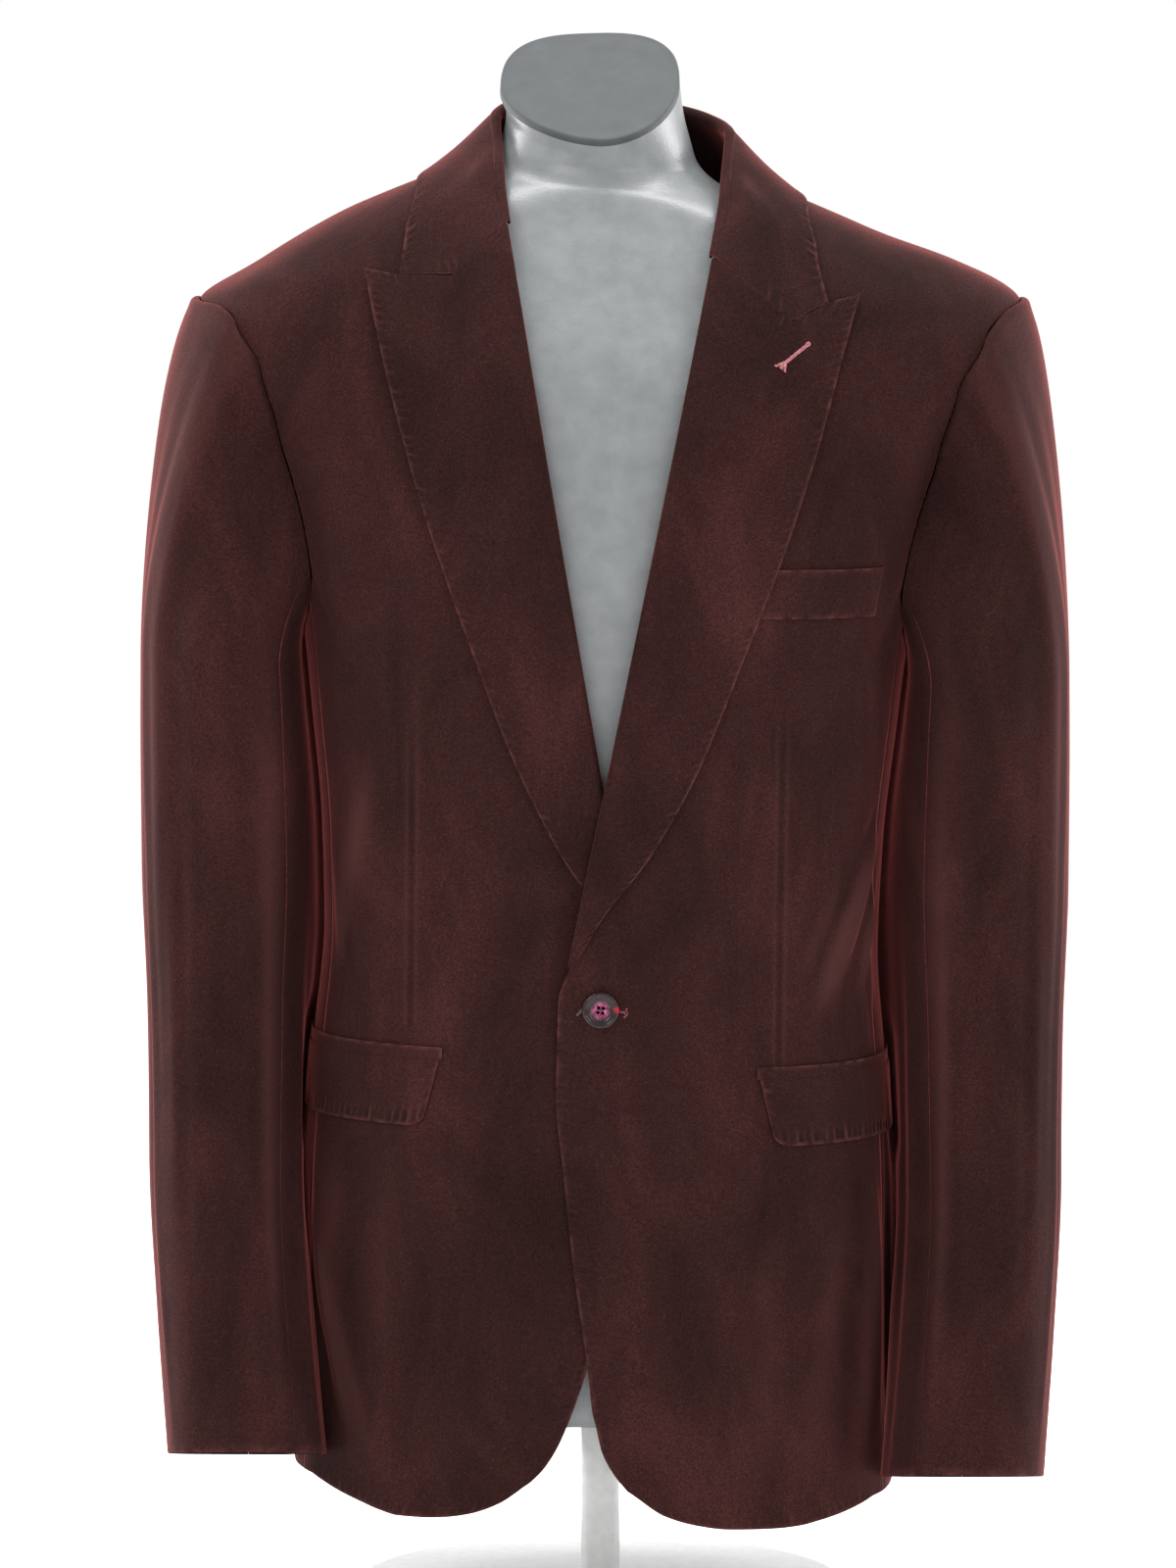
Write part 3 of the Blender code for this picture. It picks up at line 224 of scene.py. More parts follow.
# The gorge, where lapel and collar meet: from the roll line to the corner and the notch, then the peak.
Gorge = namedtuple("Gorge", "place left_x left_height right_x right_height")
GORGE = (
    Gorge("roll", 55.6, 704.5, 57.4, 714.5),
    Gorge("corner", 99, 671.5, 87, 685),
    Gorge("notch", 119, 682, 116, 685),
    Gorge("peak", 136, 686.5, 134.5, 688),
)
CollarStation = namedtuple("CollarStation", "neck_angle fold_x fold_y fold_height edge_angle edge_height")
COLLAR_STATIONS = (
    CollarStation(31, 61, -60, 737, 32.5, 704),
    CollarStation(55, 63, -30, 757, 45, 724),
    CollarStation(90, 65, 0, 775, 90, 741),
    CollarStation(120, 55, 33, 783, 120, 738),
    CollarStation(150, 33, 56, 788, 150, 735),
    CollarStation(180, 0, 64, 789, 180, 733),
)
FLAP_TOP = 256.0
FLAP_BOTTOM = 219.0
FLAP_FRONT_TOP_X = 88.0
FLAP_FRONT_BOTTOM_X = 94.0
FLAP_CORNER = 9.0
FLAP_BACK_ANGLE = 91.0
JET_TOP = 263.0
WELT_TOP = 538.0
WELT_BOTTOM = 511.0
WELT_INNER_X = 84.0
WELT_OUTER_X = 147.0
# Large soft folds of the fronts and back: along is the direction in degrees, 90 is upright.
Fold = namedtuple("Fold", "angle height along half_length half_width depth")
BODY_FOLDS = (
    Fold(58, 338, 62, 46, 10, 2.4),
    Fold(70, 318, 100, 26, 9, 1.8),
    Fold(63, 104, 86, 72, 13, 2.2),
    Fold(77, 100, 94, 74, 12, -2.4),
    Fold(-63, 104, 94, 72, 13, 2.0),
    Fold(-77, 100, 86, 74, 12, -2.4),
    Fold(-60, 356, 110, 50, 13, 1.4),
    Fold(140, 330, 78, 50, 13, 2.2),
    Fold(-142, 318, 102, 52, 13, 2.2),
)
BODY_FOLD_RADIUS = 140.0
SleeveFold = namedtuple("SleeveFold", "turn half_turn top bottom depth")
SLEEVE_FOLDS = (
    SleeveFold(38, 11, 640, 260, 2.6),
    SleeveFold(62, 12, 600, 330, -1.8),
    SleeveFold(-40, 13, 600, 180, 2.4),
    SleeveFold(-75, 14, 520, 120, -2.2),
    SleeveFold(118, 12, 420, 60, 2.0),
)
FormNeck = namedtuple("FormNeck", "height x half_width front back tilt shield")
FORM_NECK = (
    FormNeck(735, -1.5, 92, 61, 69, 0.0, 0.0),
    FormNeck(741, -3.5, 75, 57, 62, 0.02, 0.0),
    FormNeck(748, -6.5, 63, 54.5, 58, 0.06, 0.0),
    FormNeck(757, -8.5, 56, 53.5, 55, 0.14, 0.0),
    FormNeck(768, -8.5, 52, 54, 54, 0.27, 0.1),
    FormNeck(780, -10.0, 49.5, 55, 54, 0.42, 0.45),
    FormNeck(793, -13, 50, 57, 55, 0.54, 1.0),
)
# The neck's top is a shield: flat behind, blunt in front, with its tip to the left and level.
SHIELD_BACK_SQUARENESS = 2.9
SHIELD_FRONT_SQUARENESS = 1.75
SHIELD_TIP_X = 8.0
SHIELD_RISE = 0.03
CAP_THICKNESS = 4.0


def smooth_curve(positions, values):
    """A function through the given numbers or points that is smooth and never overshoots them."""
    xs = np.asarray(positions, float)
    ys = np.asarray(values, float)
    more = (1,) * (ys.ndim - 1)
    steps = np.diff(ys, axis=0) / np.diff(xs).reshape(-1, *more)
    slopes = np.zeros_like(ys)
    slopes[0], slopes[-1] = steps[0], steps[-1]
    before, after = steps[:-1], steps[1:]
    same = before * after > 0
    slopes[1:-1] = np.where(same, 2 * before * after / np.where(same, before + after, 1), 0)

    def value(x):
        x = np.clip(np.asarray(x, float), xs[0], xs[-1])
        i = np.clip(np.searchsorted(xs, x, side="right") - 1, 0, len(xs) - 2)
        width = (xs[i + 1] - xs[i]).reshape(x.shape + more)
        t = (x - xs[i]).reshape(x.shape + more) / width
        start = (1 + 2 * t) * (1 - t) ** 2 * ys[i] + t * (1 - t) ** 2 * width * slopes[i]
        end = t * t * (3 - 2 * t) * ys[i + 1] + t * t * (t - 1) * width * slopes[i + 1]
        return start + end

    return value


def column(table, key, value):
    """One column of a table as a smooth function of another."""
    return smooth_curve([getattr(row, key) for row in table], [getattr(row, value) for row in table])


half_width_at = column(BODY_SECTIONS, "height", "half_width")
front_at = column(BODY_SECTIONS, "height", "front")
back_at = column(BODY_SECTIONS, "height", "back")
armhole_angle_at = column(ARMHOLE, "turn", "angle")
armhole_height_at = column(ARMHOLE, "turn", "height")
neckline_height_at = column(FRONT_NECKLINE, "angle", "height")


def smoothstep(low, high, x):
    t = np.clip((np.asarray(x, float) - low) / (high - low), 0, 1)
    return t * t * (3 - 2 * t)


def rounded(value, squareness):
    """A sine or cosine bent towards the corners of a square."""
    return np.sign(value) * np.abs(value) ** (2 / squareness)


def points(x, y, z):
    return np.stack(np.broadcast_arrays(x, y, z), axis=-1).astype(float)


def unit(vectors):
    return vectors / np.linalg.norm(vectors, axis=-1, keepdims=True)


def body_ring(angle, height):
    """The smooth body surface, before its folds."""
    turn = np.radians(angle)
    sine, cosine = np.sin(turn), np.cos(turn)
    depth = np.where(cosine > 0, -front_at(height), back_at(height))
    x = half_width_at(height) * rounded(sine, SQUARENESS)
    return points(x, depth * np.abs(rounded(cosine, SQUARENESS)), height)


def body_normal(angle, height):
    turn_step, height_step = 0.4, 0.6
    across = body_ring(angle + turn_step, height) - body_ring(angle - turn_step, height)
    up = body_ring(angle, height + height_step) - body_ring(angle, height - height_step)
    return unit(np.cross(across, up))


def body_folds(angle, height):
    """How far the large folds stand out of the smooth surface."""
    total = np.zeros(np.broadcast(angle, height).shape)
    for fold in BODY_FOLDS + FINE_FOLDS:
        along = math.radians(fold.along)
        side = math.copysign(1, fold.angle)
        across_mm = np.radians(angle - fold.angle) * BODY_FOLD_RADIUS * side
        up_mm = height - fold.height
        lengthwise = across_mm * math.cos(along) + up_mm * math.sin(along)
        sidewise = -across_mm * math.sin(along) + up_mm * math.cos(along)
        total = total + fold.depth * np.exp(
            -((lengthwise / fold.half_length) ** 4) - (sidewise / fold.half_width) ** 2
        )
    return total


def body_point(angle, height, out):
    """A point of the jacket's body, moved out from its outer face."""
    angle, height = np.broadcast_arrays(np.asarray(angle, float), np.asarray(height, float))
    reach = np.asarray(out + body_folds(angle, height))[..., None]
    return body_ring(angle, height) + body_normal(angle, height) * reach


def angle_at(x, height):
    """The angle round the body of a point on its front half, from how far out it lies."""
    share = np.clip(np.abs(x) / half_width_at(height), 0, 1)
    return np.sign(x) * np.degrees(np.arcsin(share ** (SQUARENESS / 2)))


def seam_shift(angle, height, distance):
    """How far to turn from an angle, towards smaller angles, to move that distance."""
    low, high = 0.0, 3.0
    start = body_ring(angle, height)
    for _ in range(30):
        middle = (low + high) / 2
        if np.linalg.norm(body_ring(angle - middle, height) - start) < distance:
            low = middle
        else:
            high = middle
    return high


def overlap_lift(x, height):
    """How far the left front stands out where it laps over the right front and its lapel."""
    over_front = 2.5 * (1 - smoothstep(430, 560, height))
    over_lapel = 4.2 * smoothstep(258, 300, height) * (1 - smoothstep(420, 500, height))
    return (over_front + over_lapel) * (1 - smoothstep(24, 95, x))


def hang(where):
    """From the jacket's own upright frame to the way it hangs above the floor."""
    x, y, height = where[..., 0], where[..., 1], where[..., 2]
    on_shoulder = smoothstep(600, 690, height) * smoothstep(-85, -30, y) * smoothstep(140, 215, np.abs(x))
    z = height - SIDE_DROP * (1 - on_shoulder) * np.tanh(x / DROP_SPREAD) + HEM_ABOVE_FLOOR
    return points(x + LEAN * (height - LEAN_HEIGHT), y, z)


def mirrored(where, side):
    """Own-side points on the side that the piece belongs to: 1 is the left, -1 the right."""
    return where * np.array([side, 1.0, 1.0])


def front_edge_x(height, side):
    """Own-side x of a front's free edge and, above the break, of its cut edge under the lapel."""
    heights = [row.height for row in FRONT_EDGE]
    edge = [row.left if side > 0 else row.right for row in FRONT_EDGE]
    slope = (GORGE_X - BREAK_X) / (GORGE_HEIGHT - BREAK_HEIGHT)
    for roll_height in (BREAK_HEIGHT + 6, 360, 440, 520, 600, GORGE_HEIGHT):
        heights.append(roll_height)
        edge.append(BREAK_X + slope * (roll_height - BREAK_HEIGHT) + PANEL_SETBACK)
    return smooth_curve(heights, edge)(height)


def armhole_edge(turn):
    return armhole_angle_at(turn), armhole_height_at(turn)


def front_grid(side):
    """Angles and heights of a front's points, in its own-side frame: rows rise, columns run to the side."""
    lower_rows, columns = len(FRONT_ROW_HEIGHTS), 12
    upper_rows = round(FRONT_SEAM_TURN / ARMHOLE_STEP)
    inner_height = np.array(FRONT_ROW_HEIGHTS, float)
    corner, split = inner_height[0], inner_height[-1]
    rise = (inner_height - corner) / (split - corner)
    inner_angle = angle_at(front_edge_x(inner_height, side), inner_height)
    seam = FRONT_SIDE_SEAM - seam_shift(FRONT_SIDE_SEAM, 250, SEAM_GAP / 2)
    seam_top = armhole_edge(FRONT_SEAM_TURN)[1]
    outer_height = SIDE_HEM + (seam_top - SIDE_HEM) * rise
    outer_angle = np.full(lower_rows, seam)

    neck_angle = np.array(FRONT_NECK_ANGLES, float)
    gorge_start = gorge_points(side)[0, 1]
    lapel_rows = upper_rows - len(neck_angle)
    lapel_height = split + (gorge_start - split) * np.linspace(0, 1, lapel_rows + 1)[1:]
    lapel_angle = angle_at(front_edge_x(lapel_height, side), lapel_height)
    upper_angle = np.concatenate([lapel_angle, neck_angle])
    upper_height = np.concatenate([lapel_height, neckline_height_at(neck_angle)])
    climb = np.arange(1, upper_rows + 1) / upper_rows
    hole_angle, hole_height = armhole_edge(FRONT_SEAM_TURN * (1 - climb))

    inner_angle = np.concatenate([inner_angle, upper_angle])
    inner_height = np.concatenate([inner_height, upper_height])
    outer_angle = np.concatenate([outer_angle, np.minimum(hole_angle, SHOULDER_SEAM)])
    outer_height = np.concatenate([outer_height, hole_height])
    across = np.linspace(0, 1, columns + 1)[None, :]
    angle = inner_angle[:, None] * (1 - across) + outer_angle[:, None] * across
    height = inner_height[:, None] * (1 - across) + outer_height[:, None] * across

    hem_x = half_width_at(corner) * rounded(np.sin(np.radians(angle[0])), SQUARENESS)
    hem = smooth_curve([row.x for row in HEM], [row.left if side > 0 else row.right for row in HEM])
    sag = hem(hem_x) - height[0]
    sag[0] = 0.0
    fade = np.concatenate([(1 - rise) ** 2, np.zeros(upper_rows)])
    height = height + fade[:, None] * sag[None, :]
    angle[-1] = SHOULDER_SEAM - seam_shift(SHOULDER_SEAM, 712, SEAM_GAP / 2)
    return angle, height


def back_grid():
    """Angles and heights of half the back: columns run from the side seam to the centre seam."""
    lower_rows, shoulder_columns = 9, 5
    upper_rows = round((360 - BACK_SEAM_TURN) / ARMHOLE_STEP)
    columns = shoulder_columns + len(BACK_NECK_ANGLES) - 1
    rise = np.linspace(0, 1, lower_rows)
    climb = np.arange(1, upper_rows + 1) / upper_rows
    seam = SIDE_BACK_SEAM + seam_shift(SIDE_BACK_SEAM, 250, SEAM_GAP / 2)
    seam_top = armhole_edge(BACK_SEAM_TURN)[1]
    hole_angle, hole_height = armhole_edge(BACK_SEAM_TURN + (360 - BACK_SEAM_TURN) * climb)
    outer_angle = np.concatenate([np.full(lower_rows, seam), np.maximum(hole_angle, SHOULDER_SEAM)])
    outer_height = np.concatenate([SIDE_HEM + (seam_top - SIDE_HEM) * rise, hole_height])
    centre_height = np.concatenate(
        [SIDE_HEM + (seam_top - SIDE_HEM) * rise, seam_top + (NECK_POINT - seam_top) * climb]
    )
    centre_angle = 180 - seam_shift(180, 250, SEAM_GAP / 2)
    across = np.linspace(0, 1, columns + 1)[None, :]
    angle = outer_angle[:, None] * (1 - across) + centre_angle * across
    height = outer_height[:, None] * (1 - across) + centre_height[:, None] * across

    seam_angle = SHOULDER_SEAM + seam_shift(SHOULDER_SEAM, 712, SEAM_GAP / 2)
    top_angle = np.concatenate([np.full(shoulder_columns, seam_angle), BACK_NECK_ANGLES])
    top_angle[shoulder_columns], top_angle[-1] = seam_angle, centre_angle
    climb_seam = np.linspace(SHOULDER_POINT, NECK_POINT, shoulder_columns + 1)
    top_height = np.concatenate([climb_seam, np.full(len(BACK_NECK_ANGLES) - 1, NECK_POINT)])
    fade = np.concatenate([np.zeros(lower_rows), climb**2])[:, None]
    angle = angle + fade * (top_angle - angle[-1])[None, :]
    height = height + fade * (top_height - height[-1])[None, :]
    return angle, height


def roll_x(height):
    return BREAK_X + (GORGE_X - BREAK_X) * (height - BREAK_HEIGHT) / (GORGE_HEIGHT - BREAK_HEIGHT)


def turned_profile(width, roll, centre, edge_out, turns, leaf_shares):
    """A turned-back edge in section: along the cloth and out from it, with the normal at each point."""
    turns = np.radians(np.asarray(turns, float))
    along = [roll + roll * math.cos(t) for t in turns]
    out = [centre + roll * math.sin(t) for t in turns]
    normal = [(math.cos(t), math.sin(t)) for t in turns]
    crest = centre + roll
    for share in leaf_shares:
        along.append(max(width * share, roll))
        out.append(edge_out + (crest - edge_out) * (1 - share) ** 1.5)
        normal.append((0.0, 1.0))
    return np.array(along), np.array(out), np.array(normal)


LAPEL_TURNS = (205, 165, 128, 90)


def gorge_points(side):
    """The gorge's corner points in own-side x and height."""
    if side > 0:
        return np.array([(g.left_x, g.left_height) for g in GORGE], float)
    return np.array([(g.right_x, g.right_height) for g in GORGE], float)


def leaf_shares(side, last):
    """Shares of a leaf's width with a column at each corner of the gorge, up to its last corner."""
    gorge = gorge_points(side)
    places = (gorge[:, 0] - gorge[0, 0]) / (gorge[last, 0] - gorge[0, 0])
    shares = []
    for low, high, count in ((places[0], places[1], 4), (places[1], places[2], 2), (places[2], places[3], 2)):
        shares += [low + (high - low) * (k + 1) / count for k in range(count)]
    return np.array(shares[: 6 if last == 2 else 8])


def lapel_row(share, side):
    """Roll point, outer edge point, roll radius and roll centre of a lapel at a share of its length."""
    gorge = gorge_points(side)
    places = np.linspace(0, 1, len(LAPEL_STATIONS))
    last = len(LAPEL_STATIONS) - 1
    heights = [s.roll_height for s in LAPEL_STATIONS[:last]] + [gorge[0, 1] - SEAM_GAP]
    edge_xs = [s.edge_x for s in LAPEL_STATIONS[:last]] + [gorge[3, 0]]
    edge_heights = [s.edge_height for s in LAPEL_STATIONS[:last]] + [gorge[3, 1]]
    roll_height = smooth_curve(places, heights)(share)
    start = np.array([roll_x(roll_height), roll_height])
    end = np.array([smooth_curve(places, edge_xs)(share), smooth_curve(places, edge_heights)(share)])
    grown = float(smoothstep(0.08, 0.5, share))
    return start, end, 1.2 + 2.0 * grown, 0.6 + 0.4 * grown


def turned_points(start, end, profile, dip, wall, side):
    """The outer and inner points of one row of a lapel or collar end, on the body's front.

    dip gives, over shares of the row's width, how far the row departs in height from a straight line.
    """
    along, out, normal = profile
    width = np.linalg.norm(end - start)
    direction = (end - start) / width
    rows = []
    for face in (0.5, -0.5):
        reach = along + normal[:, 0] * wall * face
        flat = start[None, :] + direction[None, :] * reach[:, None]
        x, height = flat[:, 0], flat[:, 1] + np.interp(reach / width, dip[0], dip[1])
        lift = overlap_lift(x, height) if side > 0 else 0.0
        where = body_point(angle_at(x, height) * side, height, out + normal[:, 1] * wall * face + lift)
        rows.append(where)
    return rows


def gorge_dip(side, last):
    """How far the gorge lies below a straight line from its roll point to one of its corners."""
    gorge = gorge_points(side)[: last + 1]
    shares = (gorge[:, 0] - gorge[0, 0]) / (gorge[-1, 0] - gorge[0, 0])
    straight = gorge[0, 1] + (gorge[-1, 1] - gorge[0, 1]) * shares
    return shares, gorge[:, 1] - straight


STAND_SHARES = (0.0, 0.34, 0.68)
COLLAR_TURNS = (180, 140, 90, 40, 0)


def collar_end(side):
    """Middle line of the collar's front end, along the gorge, and its normals, on the own side."""
    gorge = gorge_points(side)
    step = SEAM_GAP + GORGE_EASE
    start = gorge[0] + unit(gorge[0] - gorge[1]) * 2.0 + np.array([0, step])
    end = gorge[2] + np.array([-0.4, step])
    width = np.linalg.norm(end - start)
    turns = (208, 200, 192, 183, 165, 140, 115, 90)
    profile = turned_profile(width, 3.2, 1.0, LAPEL_GAP + COLLAR_WALL / 2, turns, leaf_shares(side, 2))
    outer, inner = turned_points(start, end, profile, gorge_dip(side, 2), COLLAR_WALL, side)
    return mirrored((outer + inner) / 2, side), mirrored(unit(outer - inner), side)


LEAF_SHARES = (0.16, 0.33, 0.5, 0.67, 0.84, 1.0)


def clear_of_body(where, distance):
    """A point moved out, where it must be, to lie at least that distance off the body's outer face."""
    for _ in range(4):
        x, y, height = where
        depth = front_at(height) if y < 0 else back_at(height)
        across, deep = abs(x) / half_width_at(height), abs(y) / depth
        size = (across**SQUARENESS + deep**SQUARENESS) ** (1 / SQUARENESS)
        turn = math.atan2(across ** (SQUARENESS / 2), deep ** (SQUARENESS / 2))
        angle = math.degrees(turn if y < 0 else math.pi - turn)
        normal = body_normal(angle, height)
        off = np.dot(where * np.array([1, 1, 0]) * (1 - 1 / size), normal)
        where = where + normal * max(0.0, distance - off)
    return where


def collar_section(neck_angle):
    """Middle line of the collar at an angle round the neckline: up the stand, over and down the leaf."""
    keys = CollarStation._fields
    at = {key: float(column(COLLAR_STATIONS, "neck_angle", key)(neck_angle)) for key in keys}
    neck_height = float(neckline_height_at(neck_angle)) if neck_angle < 90 else NECK_POINT
    neck = body_point(neck_angle, neck_height, -CLOTH / 2)
    fold = np.array([at["fold_x"], at["fold_y"], at["fold_height"]])
    edge = body_point(at["edge_angle"], at["edge_height"], LAPEL_GAP + COLLAR_WALL / 2)
    fall = edge - fold
    up = unit(np.array([0.0, 0.0, 1.0]) - 0.25 * unit(fall * np.array([1, 1, 0])))
    outward = unit(fall - up * np.dot(fall, up))
    centre = fold - up * COLLAR_ROLL
    stand_top = centre - outward * COLLAR_ROLL
    leaf_top = centre + outward * COLLAR_ROLL
    seam_gap = SEAM_GAP + (0.7 if neck_angle > 60 else 1.4)
    start = neck + unit(stand_top - neck) * seam_gap
    line = [start + (stand_top - start) * share for share in STAND_SHARES]
    for turn in np.radians(COLLAR_TURNS):
        line.append(centre + outward * COLLAR_ROLL * math.cos(turn) + up * COLLAR_ROLL * math.sin(turn))
    reach = np.linalg.norm(edge - leaf_top)
    control = (leaf_top + edge) / 2 + up * reach * COLLAR_FULLNESS
    for share in LEAF_SHARES:
        leaf = (1 - share) ** 2 * leaf_top + 2 * share * (1 - share) * control + share**2 * edge
        line.append(clear_of_body(leaf, LAPEL_GAP + COLLAR_WALL / 2))
    return np.array(line)


def grid_normals(grid):
    across = np.gradient(grid, axis=1)
    along = np.gradient(grid, axis=0)
    return unit(np.cross(across, along))


sleeve_x_at = column(SLEEVE_RINGS, "height", "x")
sleeve_y_at = column(SLEEVE_RINGS, "height", "y")
sleeve_half_width_at = column(SLEEVE_RINGS, "height", "half_width")
sleeve_half_depth_at = column(SLEEVE_RINGS, "height", "half_depth")


def sleeve_folds(turn, height):
    total = np.zeros(np.broadcast(turn, height).shape)
    for fold in SLEEVE_FOLDS + FINE_SLEEVE_FOLDS:
        away = (turn - fold.turn + 180) % 360 - 180
        middle, half = (fold.top + fold.bottom) / 2, (fold.top - fold.bottom) / 2
        total = total + fold.depth * np.exp(-((away / fold.half_turn) ** 2) - ((height - middle) / half) ** 4)
    return total


def sleeve_ring(turn, height, side):
    """The hanging sleeve below its head, kept clear of the body's side."""
    angle = np.radians(turn)
    sway_rate = SLEEVE_SWAY_LEFT if side > 0 else -SLEEVE_SWAY_RIGHT
    sway = sway_rate * np.clip(SWAY_HEIGHT - height, 0, None)
    x = sway + sleeve_x_at(height) + sleeve_half_width_at(height) * rounded(np.cos(angle), SLEEVE_SQUARENESS)
    depth = sleeve_half_depth_at(height) * rounded(np.sin(angle), SLEEVE_SQUARENESS)
    y = sleeve_y_at(height) - depth
    by_flap = smoothstep(195, 212, height) * (1 - smoothstep(266, 284, height))
    wide = SLEEVE_CLEARANCE - SLEEVE_REAR_CLEARANCE + by_flap * (LAID_ON_GAP + FLAP_WALL)
    clearance = SLEEVE_REAR_CLEARANCE + wide * smoothstep(16, -8, y)
    away = (turn - SNUG_TURN + 180) % 360 - 180
    x = x - SNUG_DEPTH * smoothstep(40, 130, height) * np.exp(-((away / SNUG_HALF_TURN) ** 2))
    reach = np.where(y < 0, front_at(height), back_at(height)) + clearance
    inside = np.clip(1 - np.clip(np.abs(y) / reach, 0, 1) ** SQUARENESS, 0, 1)
    limit = (half_width_at(height) + clearance) * inside ** (1 / SQUARENESS)
    short = limit - x
    x = x + 0.5 * (short + np.sqrt(short**2 + SNUG_SOFTNESS**2))
    cuff = smoothstep(150, 28, height)
    z = height + CUFF_SLANT * cuff * depth / sleeve_half_depth_at(height)
    return points(x, y, z)


def sleeve_head(turn, share, side):
    """The sleeve's head, from the armhole (share 0) down to its first full ring (share 1)."""
    turn_in = np.mod(turn, 360)
    hole = body_ring(armhole_angle_at(turn_in), armhole_height_at(turn_in))
    ring = sleeve_ring(turn, np.full_like(turn_in, SLEEVE_TOP_RING), side)
    angle = np.radians(turn)
    leave = unit(points(0.8 + 0.2 * np.cos(angle), -0.6 * np.sin(angle), -0.36 + 0.5 * np.cos(angle)))
    hole = hole + leave * (SEAM_GAP + ARMHOLE_EASE)
    chord = np.linalg.norm(ring - hole, axis=-1, keepdims=True)
    below = sleeve_ring(turn, np.full_like(turn_in, SLEEVE_TOP_RING - 2), side)
    arrive = unit(below - ring) * chord * 1.2
    t = share[..., None]
    start = (1 + 2 * t) * (1 - t) ** 2 * hole + t * (1 - t) ** 2 * leave * chord * 0.22
    return start + t * t * (3 - 2 * t) * ring + t * t * (t - 1) * arrive


def sleeve_surface(turn, way, side):
    """A sleeve point: way runs 0 to 1 down the head and 1 to 2 down to the cuff."""
    turn, way = np.broadcast_arrays(np.asarray(turn, float), np.asarray(way, float))
    cuff = SLEEVE_RINGS[0].height
    height = SLEEVE_TOP_RING + (cuff - SLEEVE_TOP_RING) * np.clip(way - 1, 0, 1)
    head = sleeve_head(turn, np.clip(way, 0, 1), side)
    return np.where((way <= 1)[..., None], head, sleeve_ring(turn, height, side))


def sleeve_point(turn, way, out, side):
    """A sleeve point on the own side, moved out from the sleeve's outer face."""
    turn, way = np.broadcast_arrays(np.asarray(turn, float), np.asarray(way, float))
    turn_step, way_step = 1.0, 0.004
    above, below = np.clip(way - way_step, 0, 2), np.clip(way + way_step, 0, 2)
    across = sleeve_surface(turn + turn_step, way, side) - sleeve_surface(turn - turn_step, way, side)
    down = sleeve_surface(turn, below, side) - sleeve_surface(turn, above, side)
    normal = unit(np.cross(across, down))
    where = sleeve_surface(turn, way, side)
    reach = out + sleeve_folds(turn, where[..., 2])
    return where + normal * np.asarray(reach)[..., None]


def form_ring(height, count):
    """A ring of the form's torso, clear inside the jacket and close under its shoulders."""
    angle = np.linspace(-180, 180, count, endpoint=False)
    on_shoulder = smoothstep(560, 650, height)
    by_seam = np.exp(-(((np.abs(angle) - SHOULDER_SEAM) / 7) ** 2)) * smoothstep(660, 684, height)
    gap = FORM_BODY_GAP + (FORM_SHOULDER_GAP - FORM_BODY_GAP) * on_shoulder
    gap = gap + (FORM_SEAT_GAP - FORM_SHOULDER_GAP) * by_seam
    at_throat = smoothstep(640, 700, height) * (1 - smoothstep(42, 75, np.abs(angle)))
    gap = gap + (FORM_THROAT_GAP - FORM_SHOULDER_GAP) * at_throat
    level = np.full(count, float(height))
    inside = body_ring(angle, level) - body_normal(angle, level) * (CLOTH + gap)[:, None]
    beyond = np.abs(inside[:, 0]) - FORM_SHOULDER_END
    inside[:, 0] -= np.sign(inside[:, 0]) * 0.5 * (beyond + np.sqrt(beyond**2 + 16.0))
    return hang(inside)


def neck_ring(row, count, inset=0.0, rise=0.0):
    """A ring of the form's neck, which turns from an oval at the shoulders into a shield at its top."""
    angle = np.radians(np.linspace(-180, 180, count, endpoint=False))
    sine, cosine = np.sin(angle), np.cos(angle)
    top_squareness = np.where(cosine > 0, SHIELD_FRONT_SQUARENESS, SHIELD_BACK_SQUARENESS)
    squareness = 2 + (top_squareness - 2) * row.shield
    reach = np.where(cosine > 0, -(row.front - inset), row.back - inset)
    depth = reach * np.abs(rounded(cosine, squareness))
    x = row.x + (row.half_width - inset) * rounded(sine, squareness)
    x = x + row.shield * SHIELD_TIP_X * np.clip(cosine, 0, 1) ** 2
    level = row.shield * (SIDE_DROP * np.tanh(x / DROP_SPREAD) + SHIELD_RISE * x)
    return hang(points(x, depth, row.height + row.tilt * depth + rise + level))


